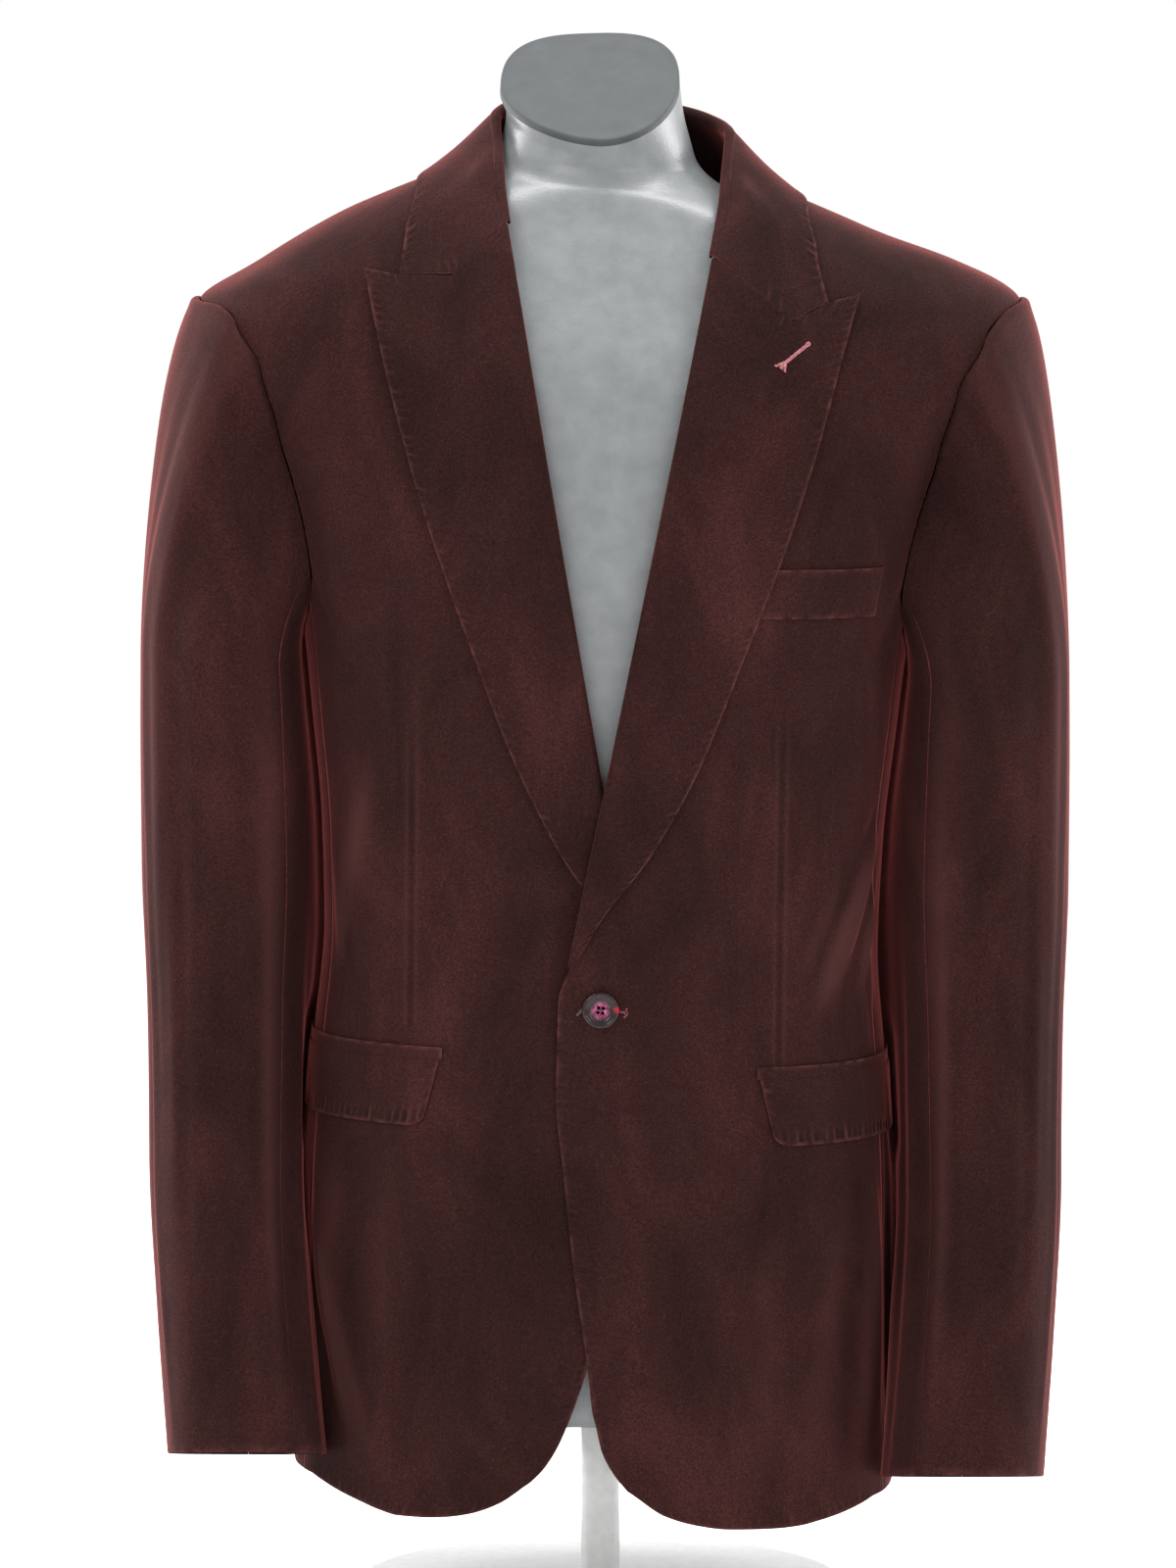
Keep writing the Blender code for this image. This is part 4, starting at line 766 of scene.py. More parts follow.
# Finer creases than the solids carry, in the same two tables' terms.
FINE_FOLDS = (
    Fold(64, 352, 58, 36, 5, 2.0),
    Fold(69, 331, 66, 32, 5, 1.9),
    Fold(52, 322, 60, 34, 6, 1.5),
    Fold(61, 372, 52, 32, 6, -1.4),
    Fold(46, 336, 56, 30, 6, 1.0),
    Fold(66, 286, 96, 20, 5, 0.8),
    Fold(57, 291, 88, 22, 6, -0.7),
    Fold(84, 158, 90, 44, 8, 2.0),
    Fold(79, 150, 91, 84, 4, 1.5),
    Fold(67, 132, 92, 70, 6, 1.2),
    Fold(55, 92, 84, 60, 8, -1.2),
    Fold(46, 120, 80, 70, 10, 0.9),
    Fold(28, 92, 88, 58, 12, 0.6),
    Fold(62, 500, 60, 34, 7, -0.9),
    Fold(-58, 99, 68, 60, 6, 2.3),
    Fold(-51, 82, 66, 50, 6, 1.6),
    Fold(-64, 122, 72, 52, 5, -1.3),
    Fold(-68, 150, 86, 66, 6, 1.2),
    Fold(-66, 331, 76, 30, 6, 1.1),
    Fold(-54, 386, 110, 36, 7, 0.8),
    Fold(-62, 301, 96, 26, 5, -0.8),
    Fold(-40, 150, 94, 60, 11, 0.7),
    Fold(-62, 495, 60, 34, 7, -0.9),
    Fold(150, 352, 70, 44, 8, 1.4),
    Fold(128, 364, 62, 36, 7, 1.2),
    Fold(-150, 350, 112, 40, 8, -1.2),
    Fold(-130, 372, 60, 34, 7, 1.2),
    Fold(160, 611, 30, 40, 9, 1.0),
    Fold(-158, 604, 34, 42, 9, 1.0),
    Fold(132, 121, 92, 70, 9, 1.4),
    Fold(-128, 112, 87, 74, 9, 1.4),
    Fold(155, 90, 90, 60, 10, -1.0),
    Fold(-160, 100, 88, 66, 10, -0.9),
)
FINE_SLEEVE_FOLDS = (
    SleeveFold(20, 4.5, 640, 470, 1.0),
    SleeveFold(30, 4.0, 560, 370, 1.2),
    SleeveFold(38, 4.2, 500, 240, -1.1),
    SleeveFold(47, 4.2, 612, 330, 1.1),
    SleeveFold(54, 4.6, 470, 190, 0.9),
    SleeveFold(24, 4.0, 420, 150, -1.0),
    SleeveFold(31, 4.4, 330, 60, 1.1),
    SleeveFold(64, 4.8, 380, 120, -0.8),
    SleeveFold(117, 4.6, 330, 60, 1.3),
    SleeveFold(109, 4.6, 262, 30, -1.0),
    SleeveFold(148, 4.6, 330, 20, 1.2),
    SleeveFold(160, 5.0, 300, 20, -1.0),
    SleeveFold(-20, 5.5, 520, 220, 0.9),
    SleeveFold(-55, 6.0, 470, 190, 1.3),
    SleeveFold(-70, 6.0, 330, 60, 0.9),
    SleeveFold(200, 6.0, 300, 70, 0.8),
)

# Painted light along the ridge of a fold and painted shade in its trough: their strength for a millimetre of
# fold.
FOLD_LIGHT_PER_MM = 0.17
FOLD_LIGHT_LIMIT = 2.6
SLEEVE_FOLD_LIGHT_SHARE = 0.6


def fold_light_and_shade(relief):
    """How far folds of that height lighten the pile with painted light and darken it with painted shade."""
    return FOLD_LIGHT_PER_MM * np.clip(relief, -FOLD_LIGHT_LIMIT, FOLD_LIGHT_LIMIT)


# Finer grids


def rimmed(count, rim):
    """Places from 0 to 1 with a short first and last step, so that edges can be rounded."""
    return np.concatenate([[0.0], np.linspace(rim, 1 - rim, count), [1.0]])


def finer(grid, row_places, column_places):
    """A grid of numbers or points read smoothly at more places along both ways."""
    down = smooth_curve(np.linspace(0, 1, grid.shape[0]), grid)(row_places)
    across = smooth_curve(np.linspace(0, 1, grid.shape[1]), np.swapaxes(down, 0, 1))(column_places)
    return np.swapaxes(across, 0, 1)


def from_edge(grid, edge):
    """For every point of a grid, the length along one of its edges and the distance from it."""
    by_rows = edge in ("first_column", "last_column")
    sheet = grid if by_rows else np.swapaxes(grid, 0, 1)
    if edge.startswith("last"):
        sheet = sheet[:, ::-1]
    along = np.concatenate([[0.0], np.cumsum(np.linalg.norm(np.diff(sheet[:, 0], axis=0), axis=-1))])
    away = np.zeros(sheet.shape[:2])
    away[:, 1:] = np.cumsum(np.linalg.norm(np.diff(sheet, axis=1), axis=-1), axis=1)
    along = np.broadcast_to(along[:, None], away.shape)
    if edge.startswith("last"):
        away = away[:, ::-1]
    return (along, away) if by_rows else (along.T, away.T)


def stitch_dimples(grid, edge, depth, reach, seed, low=0.0, high=1.0):
    """Dimples across an edge, where hand stitches pull the cloth in: their relief and painted light and
    shade.

    Shade is below 0 in the dimples and above 0 on the small ridges between them. low and high are the
    shares of the edge's length between which it is stitched.
    """
    along, away = from_edge(grid, edge)
    length = along.max()
    count = int(length / STITCH_SPACING) + 2
    pull = np.random.default_rng(seed).uniform(0.2, 1.0, count)
    drift = np.random.default_rng(seed + 50).uniform(-0.16, 0.16, count)
    stretch = np.random.default_rng(seed + 90).uniform(0.6, 1.0, count)
    place = along / STITCH_SPACING
    number = np.clip(np.floor(place).astype(int), 0, count - 1)
    beside = place - number - 0.5 - drift[number]
    long = reach * stretch[number]
    across = smoothstep(0.5, 2.2, away) * (1 - smoothstep(long * 0.5, long, away))
    sewn = smoothstep(low, low + 0.02, along / length) * (1 - smoothstep(high - 0.02, high, along / length))
    dimple = pull[number] * np.exp(-((beside / 0.28) ** 2))
    band = smoothstep(0.3, 1.6, away) * (1 - smoothstep(reach * 0.35, reach * 0.95, away))
    ridge = smoothstep(0.25, 0.5, np.abs(beside)) * pull[number]
    # Painted shade in the dimples and painted light on the ridges between them.
    shade = depth * (0.75 * ridge * band - dimple * across)
    return -depth * dimple * across * sewn, shade * sewn


def edge_wear_and_sheen(grid, free_edges):
    """How much painted highlight and wear the open pile has along folded edges, from 1 at the edge to 0."""
    wear_and_sheen = np.zeros(grid.shape[:2])
    for edge, low, high in free_edges:
        along, away = from_edge(grid, edge)
        share = along / along.max()
        there = smoothstep(low - 0.01, low + 0.01, share) * (1 - smoothstep(high - 0.01, high + 0.01, share))
        wear_and_sheen = np.maximum(wear_and_sheen, there * (1 - smoothstep(0.0, EDGE_WEAR_AND_SHEEN_REACH, away)))
    return wear_and_sheen


# Meshes


def add_piece(name, vertices, faces, finishes, face_finish=None):
    """A smooth mesh object at the origin, its faces turned outwards, its place in its vertices."""
    mesh = bpy.data.meshes.new(name)
    corners = np.asarray(vertices, float) * MM
    faces = [np.asarray(group, int) for group in faces]
    flux = 0.0
    for group in faces:
        for k in range(1, group.shape[1] - 1):
            a, b, c = (corners[group[:, i]] for i in (0, k, k + 1))
            flux += float(np.sum(a * np.cross(b, c)))
    if flux < 0:
        faces = [group[:, ::-1] for group in faces]
    listed = [face for group in faces for face in group.tolist()]
    mesh.from_pydata(corners.tolist(), [], listed)
    for finish in finishes:
        mesh.materials.append(finish)
    if face_finish is not None:
        mesh.polygons.foreach_set("material_index", face_finish)
    mesh.polygons.foreach_set("use_smooth", np.full(len(listed), True))
    mesh.update()
    obj = bpy.data.objects.new(name, mesh)
    bpy.context.scene.collection.objects.link(obj)
    return obj


def grid_faces(rows, columns, first=0):
    index = np.arange(rows * columns).reshape(rows, columns) + first
    corners = (index[:-1, :-1], index[:-1, 1:], index[1:, 1:], index[1:, :-1])
    return np.stack(corners, axis=-1).reshape(-1, 4)


def make_cloth(name, outer, inner, free_edges=(), shade=None, rim=0.45):
    """A velvet wall: pile outside, woven ground inside, and a rounded rim all round."""
    rows, columns = outer.shape[:2]
    outer, inner = outer.copy(), inner.copy()
    # Folded edges are painted a lighter red, for the light their open pile catches and for wear.
    wear_and_sheen = edge_wear_and_sheen(outer, free_edges)
    shade = np.zeros((rows, columns)) if shade is None else shade
    middle = (outer + inner) / 2
    for edge in ((0, slice(None)), (-1, slice(None)), (slice(1, -1), 0), (slice(1, -1), -1)):
        outer[edge] += (middle[edge] - outer[edge]) * rim
        inner[edge] += (middle[edge] - inner[edge]) * rim
    count = rows * columns
    top = grid_faces(rows, columns)
    under = grid_faces(rows, columns, count)[:, ::-1]
    index = np.arange(count).reshape(rows, columns)
    border = np.concatenate([index[:, 0], index[-1, 1:], index[-2::-1, -1], index[0, -2:0:-1]])
    after = np.roll(border, -1)
    strip = np.stack([after, border, border + count, after + count], axis=-1)
    vertices = hang(np.concatenate([outer.reshape(-1, 3), inner.reshape(-1, 3)]))
    inside = np.concatenate([np.zeros(len(top), int), np.ones(len(under), int), np.zeros(len(strip), int)])
    piece = add_piece(f"velvet_{name}", vertices, [top, under, strip], [VELVET, VELVET_BACK], inside)
    # The first mark paints folded edges lighter, for the light their open pile catches and for wear; the
    # second paints light on ridges and shade in dimples, darts and fold troughs.
    for mark_name, values in (("edge_wear_and_sheen", wear_and_sheen), ("painted_light_and_shade", shade)):
        mark = piece.data.attributes.new(mark_name, "FLOAT", "POINT")
        mark.data.foreach_set("value", np.concatenate([values.ravel(), np.zeros(count)]))
    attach(piece, "root")
    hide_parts(name)
    return piece


def add_lathe(name, section, steps, finishes, axis_place=(0, 0, 0), facing=None):
    """A solid turned from a section of (radius, height) points that starts and ends on its axis."""
    turn = np.linspace(0, 2 * math.pi, steps, endpoint=False)
    rings = [points(r * np.cos(turn), r * np.sin(turn), z) for r, z in section[1:-1]]
    vertices = np.concatenate([[[0, 0, section[0][1]]], *rings, [[0, 0, section[-1][1]]]])
    if facing is not None:
        turned = np.array(facing.to_track_quat("Z", "Y").to_matrix())
        vertices = vertices @ turned.T
    vertices = vertices + np.asarray(axis_place)
    ring = np.arange(steps)
    nxt = np.roll(ring, -1)
    quads = []
    for k in range(len(rings) - 1):
        low, high = 1 + k * steps, 1 + (k + 1) * steps
        quads.append(np.stack([ring + low, nxt + low, nxt + high, ring + high], axis=-1))
    last = len(vertices) - 1
    top = 1 + (len(rings) - 1) * steps
    fans = [
        np.stack([np.zeros(steps, int), nxt + 1, ring + 1], axis=-1),
        np.stack([np.full(steps, last), ring + top, nxt + top], axis=-1),
    ]
    return add_piece(name, vertices, [np.concatenate(quads), *fans], finishes)


# Materials


def linear(hex_colour):
    """A linear RGBA colour from an sRGB hex value."""
    parts = [int(hex_colour[k : k + 2], 16) / 255 for k in (1, 3, 5)]
    return (*[p / 12.92 if p <= 0.04045 else ((p + 0.055) / 1.055) ** 2.4 for p in parts], 1.0)


def add_node(tree, kind, inputs=None, stops=(), **settings):
    """Adds a node, sets its properties and its colour stops, and fills its sockets with values or links."""
    node = tree.nodes.new(kind)
    for key, value in settings.items():
        setattr(node, key, value)
    for key, value in (inputs or {}).items():
        if isinstance(value, bpy.types.NodeSocket):
            tree.links.new(value, node.inputs[key])
        else:
            node.inputs[key].default_value = value
    for k, (position, colour) in enumerate(stops):
        elements = node.color_ramp.elements
        element = elements[k] if k < len(elements) else elements.new(position)
        element.position = position
        element.color = linear(colour)
    return node


def new_material(name, **shader_values):
    material = bpy.data.materials.new(name)
    material.use_nodes = True
    tree = material.node_tree
    shader = tree.nodes["Principled BSDF"]
    for key, value in shader_values.items():
        shader.inputs[key.replace("_", " ")].default_value = value
    place = add_node(tree, "ShaderNodeTexCoord").outputs["Object"]
    return material, tree, shader, place


def per_mm(size):
    """The texture scale, in Blender's metres, whose features are about that many millimetres."""
    return 1 / (size * MM)


# Sockets of a Mix node: its factor, then the two inputs and the result for numbers and for colours.
MIX, NUMBER_A, NUMBER_B, COLOUR_A, COLOUR_B = 0, 2, 3, 6, 7
NUMBER_RESULT, COLOUR_RESULT = 0, 2


def make_velvet():
    """Cotton velvet: a dense cut pile, dark where one looks into it and bright red-brown along its rims."""
    material, tree, shader, place = new_material(
        "burgundy_cotton_velvet",
        Roughness=0.9,
        Specular_IOR_Level=0.1,
        Sheen_Weight=0.6,
        Sheen_Roughness=0.25,
        Sheen_Tint=linear("#d86f6b"),
    )
    # The nap lies up and down the cloth, so its patches are longer than they are wide.
    stretched = add_node(
        tree, "ShaderNodeMapping", {"Vector": place, "Scale": (1.0, 1.0, 0.42), "Rotation": (0.0, 0.12, 0.0)}
    ).outputs["Vector"]
    patches = add_node(
        tree,
        "ShaderNodeTexNoise",
        {"Vector": stretched, "Scale": per_mm(52), "Detail": 5.0, "Roughness": 0.62, "Distortion": 0.7},
    ).outputs["Fac"]
    broad = add_node(
        tree, "ShaderNodeTexNoise", {"Vector": place, "Scale": per_mm(170), "Detail": 2.0, "Roughness": 0.5}
    ).outputs["Fac"]
    # Single tufts are about 0.4 mm; they are drawn in clumps of 1.1 mm so that they show.
    tufts = add_node(
        tree, "ShaderNodeTexNoise", {"Vector": place, "Scale": per_mm(1.1), "Detail": 2.0, "Roughness": 0.8}
    ).outputs["Fac"]
    cloud = add_node(tree, "ShaderNodeMix", {MIX: 0.42, NUMBER_A: patches, NUMBER_B: broad})
    fine = add_node(
        tree, "ShaderNodeMix", {MIX: 0.46, NUMBER_A: cloud.outputs[NUMBER_RESULT], NUMBER_B: tufts}
    ).outputs[NUMBER_RESULT]
    nap = add_node(
        tree,
        "ShaderNodeValToRGB",
        {"Fac": fine},
        stops=((0.37, "#170a08"), (0.46, "#241110"), (0.54, "#301817"), (0.67, "#482524")),
    ).outputs["Color"]
    # Painted shade and painted light: dents, darts and fold troughs are drawn darker, and the ridges beside
    # them lighter.
    painted_light_and_shade = add_node(tree, "ShaderNodeAttribute", attribute_name="painted_light_and_shade").outputs["Fac"]
    in_painted_shade = add_node(
        tree, "ShaderNodeMath", {0: painted_light_and_shade, 1: -0.85}, operation="MULTIPLY", use_clamp=True
    ).outputs["Value"]
    in_painted_light = add_node(
        tree, "ShaderNodeMath", {0: painted_light_and_shade, 1: 0.8}, operation="MULTIPLY", use_clamp=True
    ).outputs["Value"]
    with_painted_shade = add_node(
        tree,
        "ShaderNodeMix",
        {MIX: in_painted_shade, COLOUR_A: nap, COLOUR_B: linear("#140908")},
        data_type="RGBA",
    ).outputs[COLOUR_RESULT]
    with_painted_light = add_node(
        tree,
        "ShaderNodeMix",
        {MIX: in_painted_light, COLOUR_A: with_painted_shade, COLOUR_B: linear("#573432")},
        data_type="RGBA",
    ).outputs[COLOUR_RESULT]
    # Painted highlight along folded edges: a lighter red where the open pile catches the light, patchy as
    # with some wear.
    wear_and_sheen = add_node(tree, "ShaderNodeAttribute", attribute_name="edge_wear_and_sheen").outputs["Fac"]
    edge_patches = add_node(
        tree, "ShaderNodeTexNoise", {"Vector": place, "Scale": per_mm(7), "Detail": 3.0, "Roughness": 0.6}
    ).outputs["Fac"]
    in_places = add_node(
        tree, "ShaderNodeMapRange", {"Value": edge_patches, "From Min": 0.36, "From Max": 0.7, "To Max": 0.7}
    ).outputs["Result"]
    lit_and_worn_edges = add_node(tree, "ShaderNodeMath", {0: wear_and_sheen, 1: in_places}, operation="MULTIPLY").outputs["Value"]
    colour = add_node(
        tree,
        "ShaderNodeMix",
        {MIX: lit_and_worn_edges, COLOUR_A: with_painted_light, COLOUR_B: linear("#643a38")},
        data_type="RGBA",
    ).outputs[COLOUR_RESULT]
    tree.links.new(colour, shader.inputs["Base Color"])
    soft = add_node(
        tree, "ShaderNodeBump", {"Height": patches, "Strength": 0.35, "Distance": 1.8 * MM}
    ).outputs["Normal"]
    pile = add_node(
        tree, "ShaderNodeBump", {"Height": tufts, "Strength": 0.55, "Distance": 0.4 * MM, "Normal": soft}
    ).outputs["Normal"]
    tree.links.new(pile, shader.inputs["Normal"])
    return material


def make_velvet_back():
    """The wrong side of the velvet: a plain woven cotton ground, dull and dark."""
    material, tree, shader, place = new_material(
        "woven_velvet_ground", Roughness=0.95, Specular_IOR_Level=0.1
    )
    # Threads are 0.4 mm apart; they are drawn at 0.9 mm so that they show.
    threads = add_node(
        tree, "ShaderNodeTexNoise", {"Vector": place, "Scale": per_mm(0.9), "Detail": 1.0}
    ).outputs["Fac"]
    shade = add_node(tree, "ShaderNodeValToRGB", {"Fac": threads}, stops=((0.3, "#150a09"), (0.7, "#221210")))
    tree.links.new(shade.outputs["Color"], shader.inputs["Base Color"])
    bump = add_node(tree, "ShaderNodeBump", {"Height": threads, "Strength": 0.4, "Distance": 0.3 * MM})
    tree.links.new(bump.outputs["Normal"], shader.inputs["Normal"])
    return material


def make_resin(centre, painted_glint):
    """Cast polyester resin, polished: smoky brown and clear, a magenta cloud in the middle, and a red glint
    painted in as a spot of colour.
    """
    material, tree, shader, place = new_material(
        "marbled_clear_resin", Roughness=0.1, Specular_IOR_Level=0.2, Coat_Weight=0.2, Coat_Roughness=0.03
    )
    swirl = add_node(
        tree,
        "ShaderNodeTexNoise",
        {"Vector": place, "Scale": per_mm(3.6), "Detail": 4.0, "Roughness": 0.65, "Distortion": 1.6},
    ).outputs["Fac"]
    marble = add_node(
        tree,
        "ShaderNodeValToRGB",
        {"Fac": swirl},
        stops=((0.32, "#45162c"), (0.46, "#74304f"), (0.6, "#9c5072"), (0.74, "#c68ba5")),
    ).outputs["Color"]
    smoke = add_node(
        tree,
        "ShaderNodeValToRGB",
        {"Fac": swirl},
        stops=((0.35, "#150c0b"), (0.6, "#281a18"), (0.75, "#4a3634")),
    ).outputs["Color"]
    colour = smoke
    # The red glint is a painted highlight: a spot of red colour round its point.
    for spot, near, far, paint in ((centre, 3.9, 6.4, marble), (painted_glint, 0.6, 2.6, linear("#b31c2e"))):
        away = add_node(
            tree, "ShaderNodeVectorMath", {0: place, 1: spot}, operation="DISTANCE"
        ).outputs["Value"]
        inside = add_node(
            tree,
            "ShaderNodeMapRange",
            {"Value": away, "From Min": near * MM, "From Max": far * MM, "To Min": 1.0, "To Max": 0.0},
        ).outputs["Result"]
        colour = add_node(
            tree, "ShaderNodeMix", {MIX: inside, COLOUR_A: colour, COLOUR_B: paint}, data_type="RGBA"
        ).outputs[COLOUR_RESULT]
    tree.links.new(colour, shader.inputs["Base Color"])
    return material


def make_thread(name, dark, light):
    """Twisted silk thread with a soft sheen; its colour goes darker and lighter in patches of about 0.8 mm.
    """
    material, tree, shader, place = new_material(
        name, Roughness=0.5, Specular_IOR_Level=0.35, Sheen_Weight=0.3
    )
    twist = add_node(
        tree, "ShaderNodeTexNoise", {"Vector": place, "Scale": per_mm(0.8), "Detail": 2.0}
    ).outputs["Fac"]
    shade = add_node(tree, "ShaderNodeValToRGB", {"Fac": twist}, stops=((0.35, dark), (0.65, light)))
    tree.links.new(shade.outputs["Color"], shader.inputs["Base Color"])
    return material


def make_form_skin(name, dark, light, roughness, grain):
    """Moulded polyethylene with a fine leather grain, satin from handling."""
    material, tree, shader, place = new_material(name, Roughness=roughness, IOR=1.5)
    pebbles = add_node(
        tree, "ShaderNodeTexVoronoi", {"Vector": place, "Scale": per_mm(grain)}, feature="SMOOTH_F1"
    ).outputs["Distance"]
    cloud = add_node(
        tree, "ShaderNodeTexNoise", {"Vector": place, "Scale": per_mm(14), "Detail": 5.0, "Roughness": 0.6}
    ).outputs["Fac"]
    shade = add_node(tree, "ShaderNodeValToRGB", {"Fac": cloud}, stops=((0.3, dark), (0.7, light)))
    tree.links.new(shade.outputs["Color"], shader.inputs["Base Color"])
    bump = add_node(tree, "ShaderNodeBump", {"Height": pebbles, "Strength": 0.35, "Distance": 0.25 * MM})
    tree.links.new(bump.outputs["Normal"], shader.inputs["Normal"])
    return material


def make_enamel():
    """White stove enamel on steel: a satin gloss with a faint ripple."""
    material, tree, shader, place = new_material(
        "white_stove_enamel", Roughness=0.34, IOR=1.5, Coat_Weight=0.3
    )
    ripple = add_node(
        tree, "ShaderNodeTexNoise", {"Vector": place, "Scale": per_mm(6), "Detail": 3.0}
    ).outputs["Fac"]
    shade = add_node(tree, "ShaderNodeValToRGB", {"Fac": ripple}, stops=((0.3, "#e4e4e3"), (0.7, "#eeeeed")))
    tree.links.new(shade.outputs["Color"], shader.inputs["Base Color"])
    bump = add_node(tree, "ShaderNodeBump", {"Height": ripple, "Strength": 0.12, "Distance": 0.2 * MM})
    tree.links.new(bump.outputs["Normal"], shader.inputs["Normal"])
    return material


def make_paper():
    """The studio's plain white floor."""
    material, tree, shader, place = new_material("white_floor", Roughness=0.9, Specular_IOR_Level=0.1)
    tone = add_node(tree, "ShaderNodeTexNoise", {"Vector": place, "Scale": 0.8, "Detail": 1.0}).outputs["Fac"]
    shade = add_node(tree, "ShaderNodeValToRGB", {"Fac": tone}, stops=((0.3, "#fbfbfb"), (0.7, "#ffffff")))
    tree.links.new(shade.outputs["Color"], shader.inputs["Base Color"])
    return material


BUTTON_SEAT = hang(body_point(0.0, BUTTON_HEIGHT, overlap_lift(0.0, BUTTON_HEIGHT) + LAID_ON_GAP))
BUTTON_FACING = Vector(body_normal(0.0, np.float64(BUTTON_HEIGHT)))

VELVET = make_velvet()
VELVET_BACK = make_velvet_back()
# The second point is where the painted red glint sits.
RESIN = make_resin(BUTTON_SEAT * MM, (BUTTON_SEAT + np.array([9.2, -3.0, 0.5])) * MM)
PINK_SILK = make_thread("pink_silk_thread", "#9a4f55", "#c98388")
RED_SILK = make_thread("red_silk_thread", "#8a3a40", "#b96a6c")
GREY_SILK = make_thread("grey_silk_thread", "#594b48", "#857873")
FORM_SKIN = make_form_skin("grained_form_plastic", "#6f7273", "#7c7f80", 0.34, 1.3)
CAP_FACE = make_form_skin("matte_cap_plastic", "#2f3436", "#3a3e40", 0.6, 0.9)
ENAMEL = make_enamel()
FLOOR = make_paper()

# Sewing sizes, and how far the painted edge highlight and wear reach
STITCH_SPACING = 5.0
EDGE_WEAR_AND_SHEEN_REACH = 2.4

# A record of a piece's flat cut as it shows, in metres and square metres, and how it is held; no piece is
# given one here.
Cut = namedtuple("Cut", "width length area held rests_on sided")

# Body panels

Dart = namedtuple("Dart", "side low_x low high_x high")
DARTS = (
    Dart(1, 98.6, 262, 97.5, 480),
    Dart(-1, 104.7, 272, 105.4, 463),
)
DART_HALF_WIDTH = 1.2
DART_DEPTH = 0.5


def dart_seam(x, height, side):
    """The sewn line of the dart in a front, which fades out at its point: its relief, with painted shade in
    its groove and painted light on its lips.
    """
    relief, shade = np.zeros_like(x), np.zeros_like(x)
    for dart in DARTS:
        if dart.side != side:
            continue
        rise = (height - dart.low) / (dart.high - dart.low)
        line = dart.low_x + (dart.high_x - dart.low_x) * rise
        fade = smoothstep(-0.01, 0.02, rise) * (1 - smoothstep(0.7, 1.0, rise))
        groove = np.exp(-(((x - line) / DART_HALF_WIDTH) ** 2))
        lip = np.exp(-(((np.abs(x - line) - 2.2 * DART_HALF_WIDTH) / DART_HALF_WIDTH) ** 2))
        relief += fade * (0.25 * lip - groove) * DART_DEPTH
        # Painted shade along the groove and painted light on its lips.
        shade += fade * (0.2 * lip - 0.45 * groove)
    return relief, shade


def front_row_places():
    """Even steps of height down a front, as places among its rows, with a short first and last step."""
    known = np.arange(len(FRONT_ROW_HEIGHTS)) / (len(FRONT_ROW_HEIGHTS) + 11)
    low, high = FRONT_ROW_HEIGHTS[0], FRONT_ROW_HEIGHTS[-1]
    skirt = np.arange(low, 305, 1.45)
    chest = np.linspace(305, high, 70)
    lower = np.interp(np.concatenate([[low, low + 0.6], skirt[1:], chest]), FRONT_ROW_HEIGHTS, known)
    return np.concatenate([lower, np.linspace(known[-1], 0.9985, 66)[1:], [1.0]])


def make_front(name, side):
    angle, height = front_grid(side)
    rows, columns = front_row_places(), rimmed(118, 0.006)
    angle, height = finer(angle, rows, columns), finer(height, rows, columns)
    x = half_width_at(height) * rounded(np.sin(np.radians(angle)), SQUARENESS)
    lift = overlap_lift(x, height) if side > 0 else np.zeros_like(x)
    plain = body_point(angle * side, height, lift)
    below_break = 1 - smoothstep(280, 298, height)
    relief, shade = dart_seam(x, height, side)
    for edge, depth, seed, where in (("first_column", 0.28, 11, below_break), ("first_row", 0.5, 21, 1.0)):
        dents, tones = stitch_dimples(plain, edge, depth, 9.0, seed + side)
        relief, shade = relief + dents * where, shade + tones * where
    # Painted light on the ridges of folds and painted shade in their troughs.
    shade = shade + fold_light_and_shade(body_folds(angle * side, height))
    outer = body_point(angle * side, height, lift + relief)
    inner = body_point(angle * side, height, lift + 0.3 * relief - CLOTH)
    return make_cloth(name, outer, inner, (("first_row", 0, 1), ("first_column", 0, 0.44)), shade)


def make_side(name, side):
    """The underarm panel, from the hem up to the lowest part of the armhole."""
    shift = seam_shift(FRONT_SIDE_SEAM, 250, SEAM_GAP / 2)
    across = rimmed(34, 0.015)
    seam_angle = FRONT_SIDE_SEAM + shift + (SIDE_BACK_SEAM - FRONT_SIDE_SEAM - 2 * shift) * across
    top_angle, top_height = armhole_edge(FRONT_SEAM_TURN + (BACK_SEAM_TURN - FRONT_SEAM_TURN) * across)
    rise = rimmed(130, 0.003)[:, None]
    blend = smoothstep(0.8, 1.0, rise)
    top_angle = np.clip(top_angle, seam_angle[0], seam_angle[-1])
    angle = seam_angle[None, :] * (1 - blend) + top_angle[None, :] * blend
    height = SIDE_HEM + (top_height[None, :] - SIDE_HEM) * rise
    outer = body_point(angle * side, height, 0.0)
    inner = body_point(angle * side, height, -CLOTH)
    # Painted light on the ridges of folds and painted shade in their troughs.
    shade = fold_light_and_shade(body_folds(angle * side, height))
    return make_cloth(name, outer, inner, (("first_row", 0, 1),), shade)


def make_back(name, side):
    angle, height = back_grid()
    rows, columns = rimmed(160, 0.002), rimmed(70, 0.006)
    angle, height = finer(angle, rows, columns), finer(height, rows, columns)
    plain = body_point(angle * side, height, 0.0)
    relief, shade = stitch_dimples(plain, "first_row", 0.5, 9.0, 31 + side)
    # Painted light on the ridges of folds and painted shade in their troughs.
    shade = shade + fold_light_and_shade(body_folds(angle * side, height))
    outer = body_point(angle * side, height, relief)
    inner = body_point(angle * side, height, 0.3 * relief - CLOTH)
    return make_cloth(name, outer, inner, (("first_row", 0, 1),), shade)


# Lapels and collar


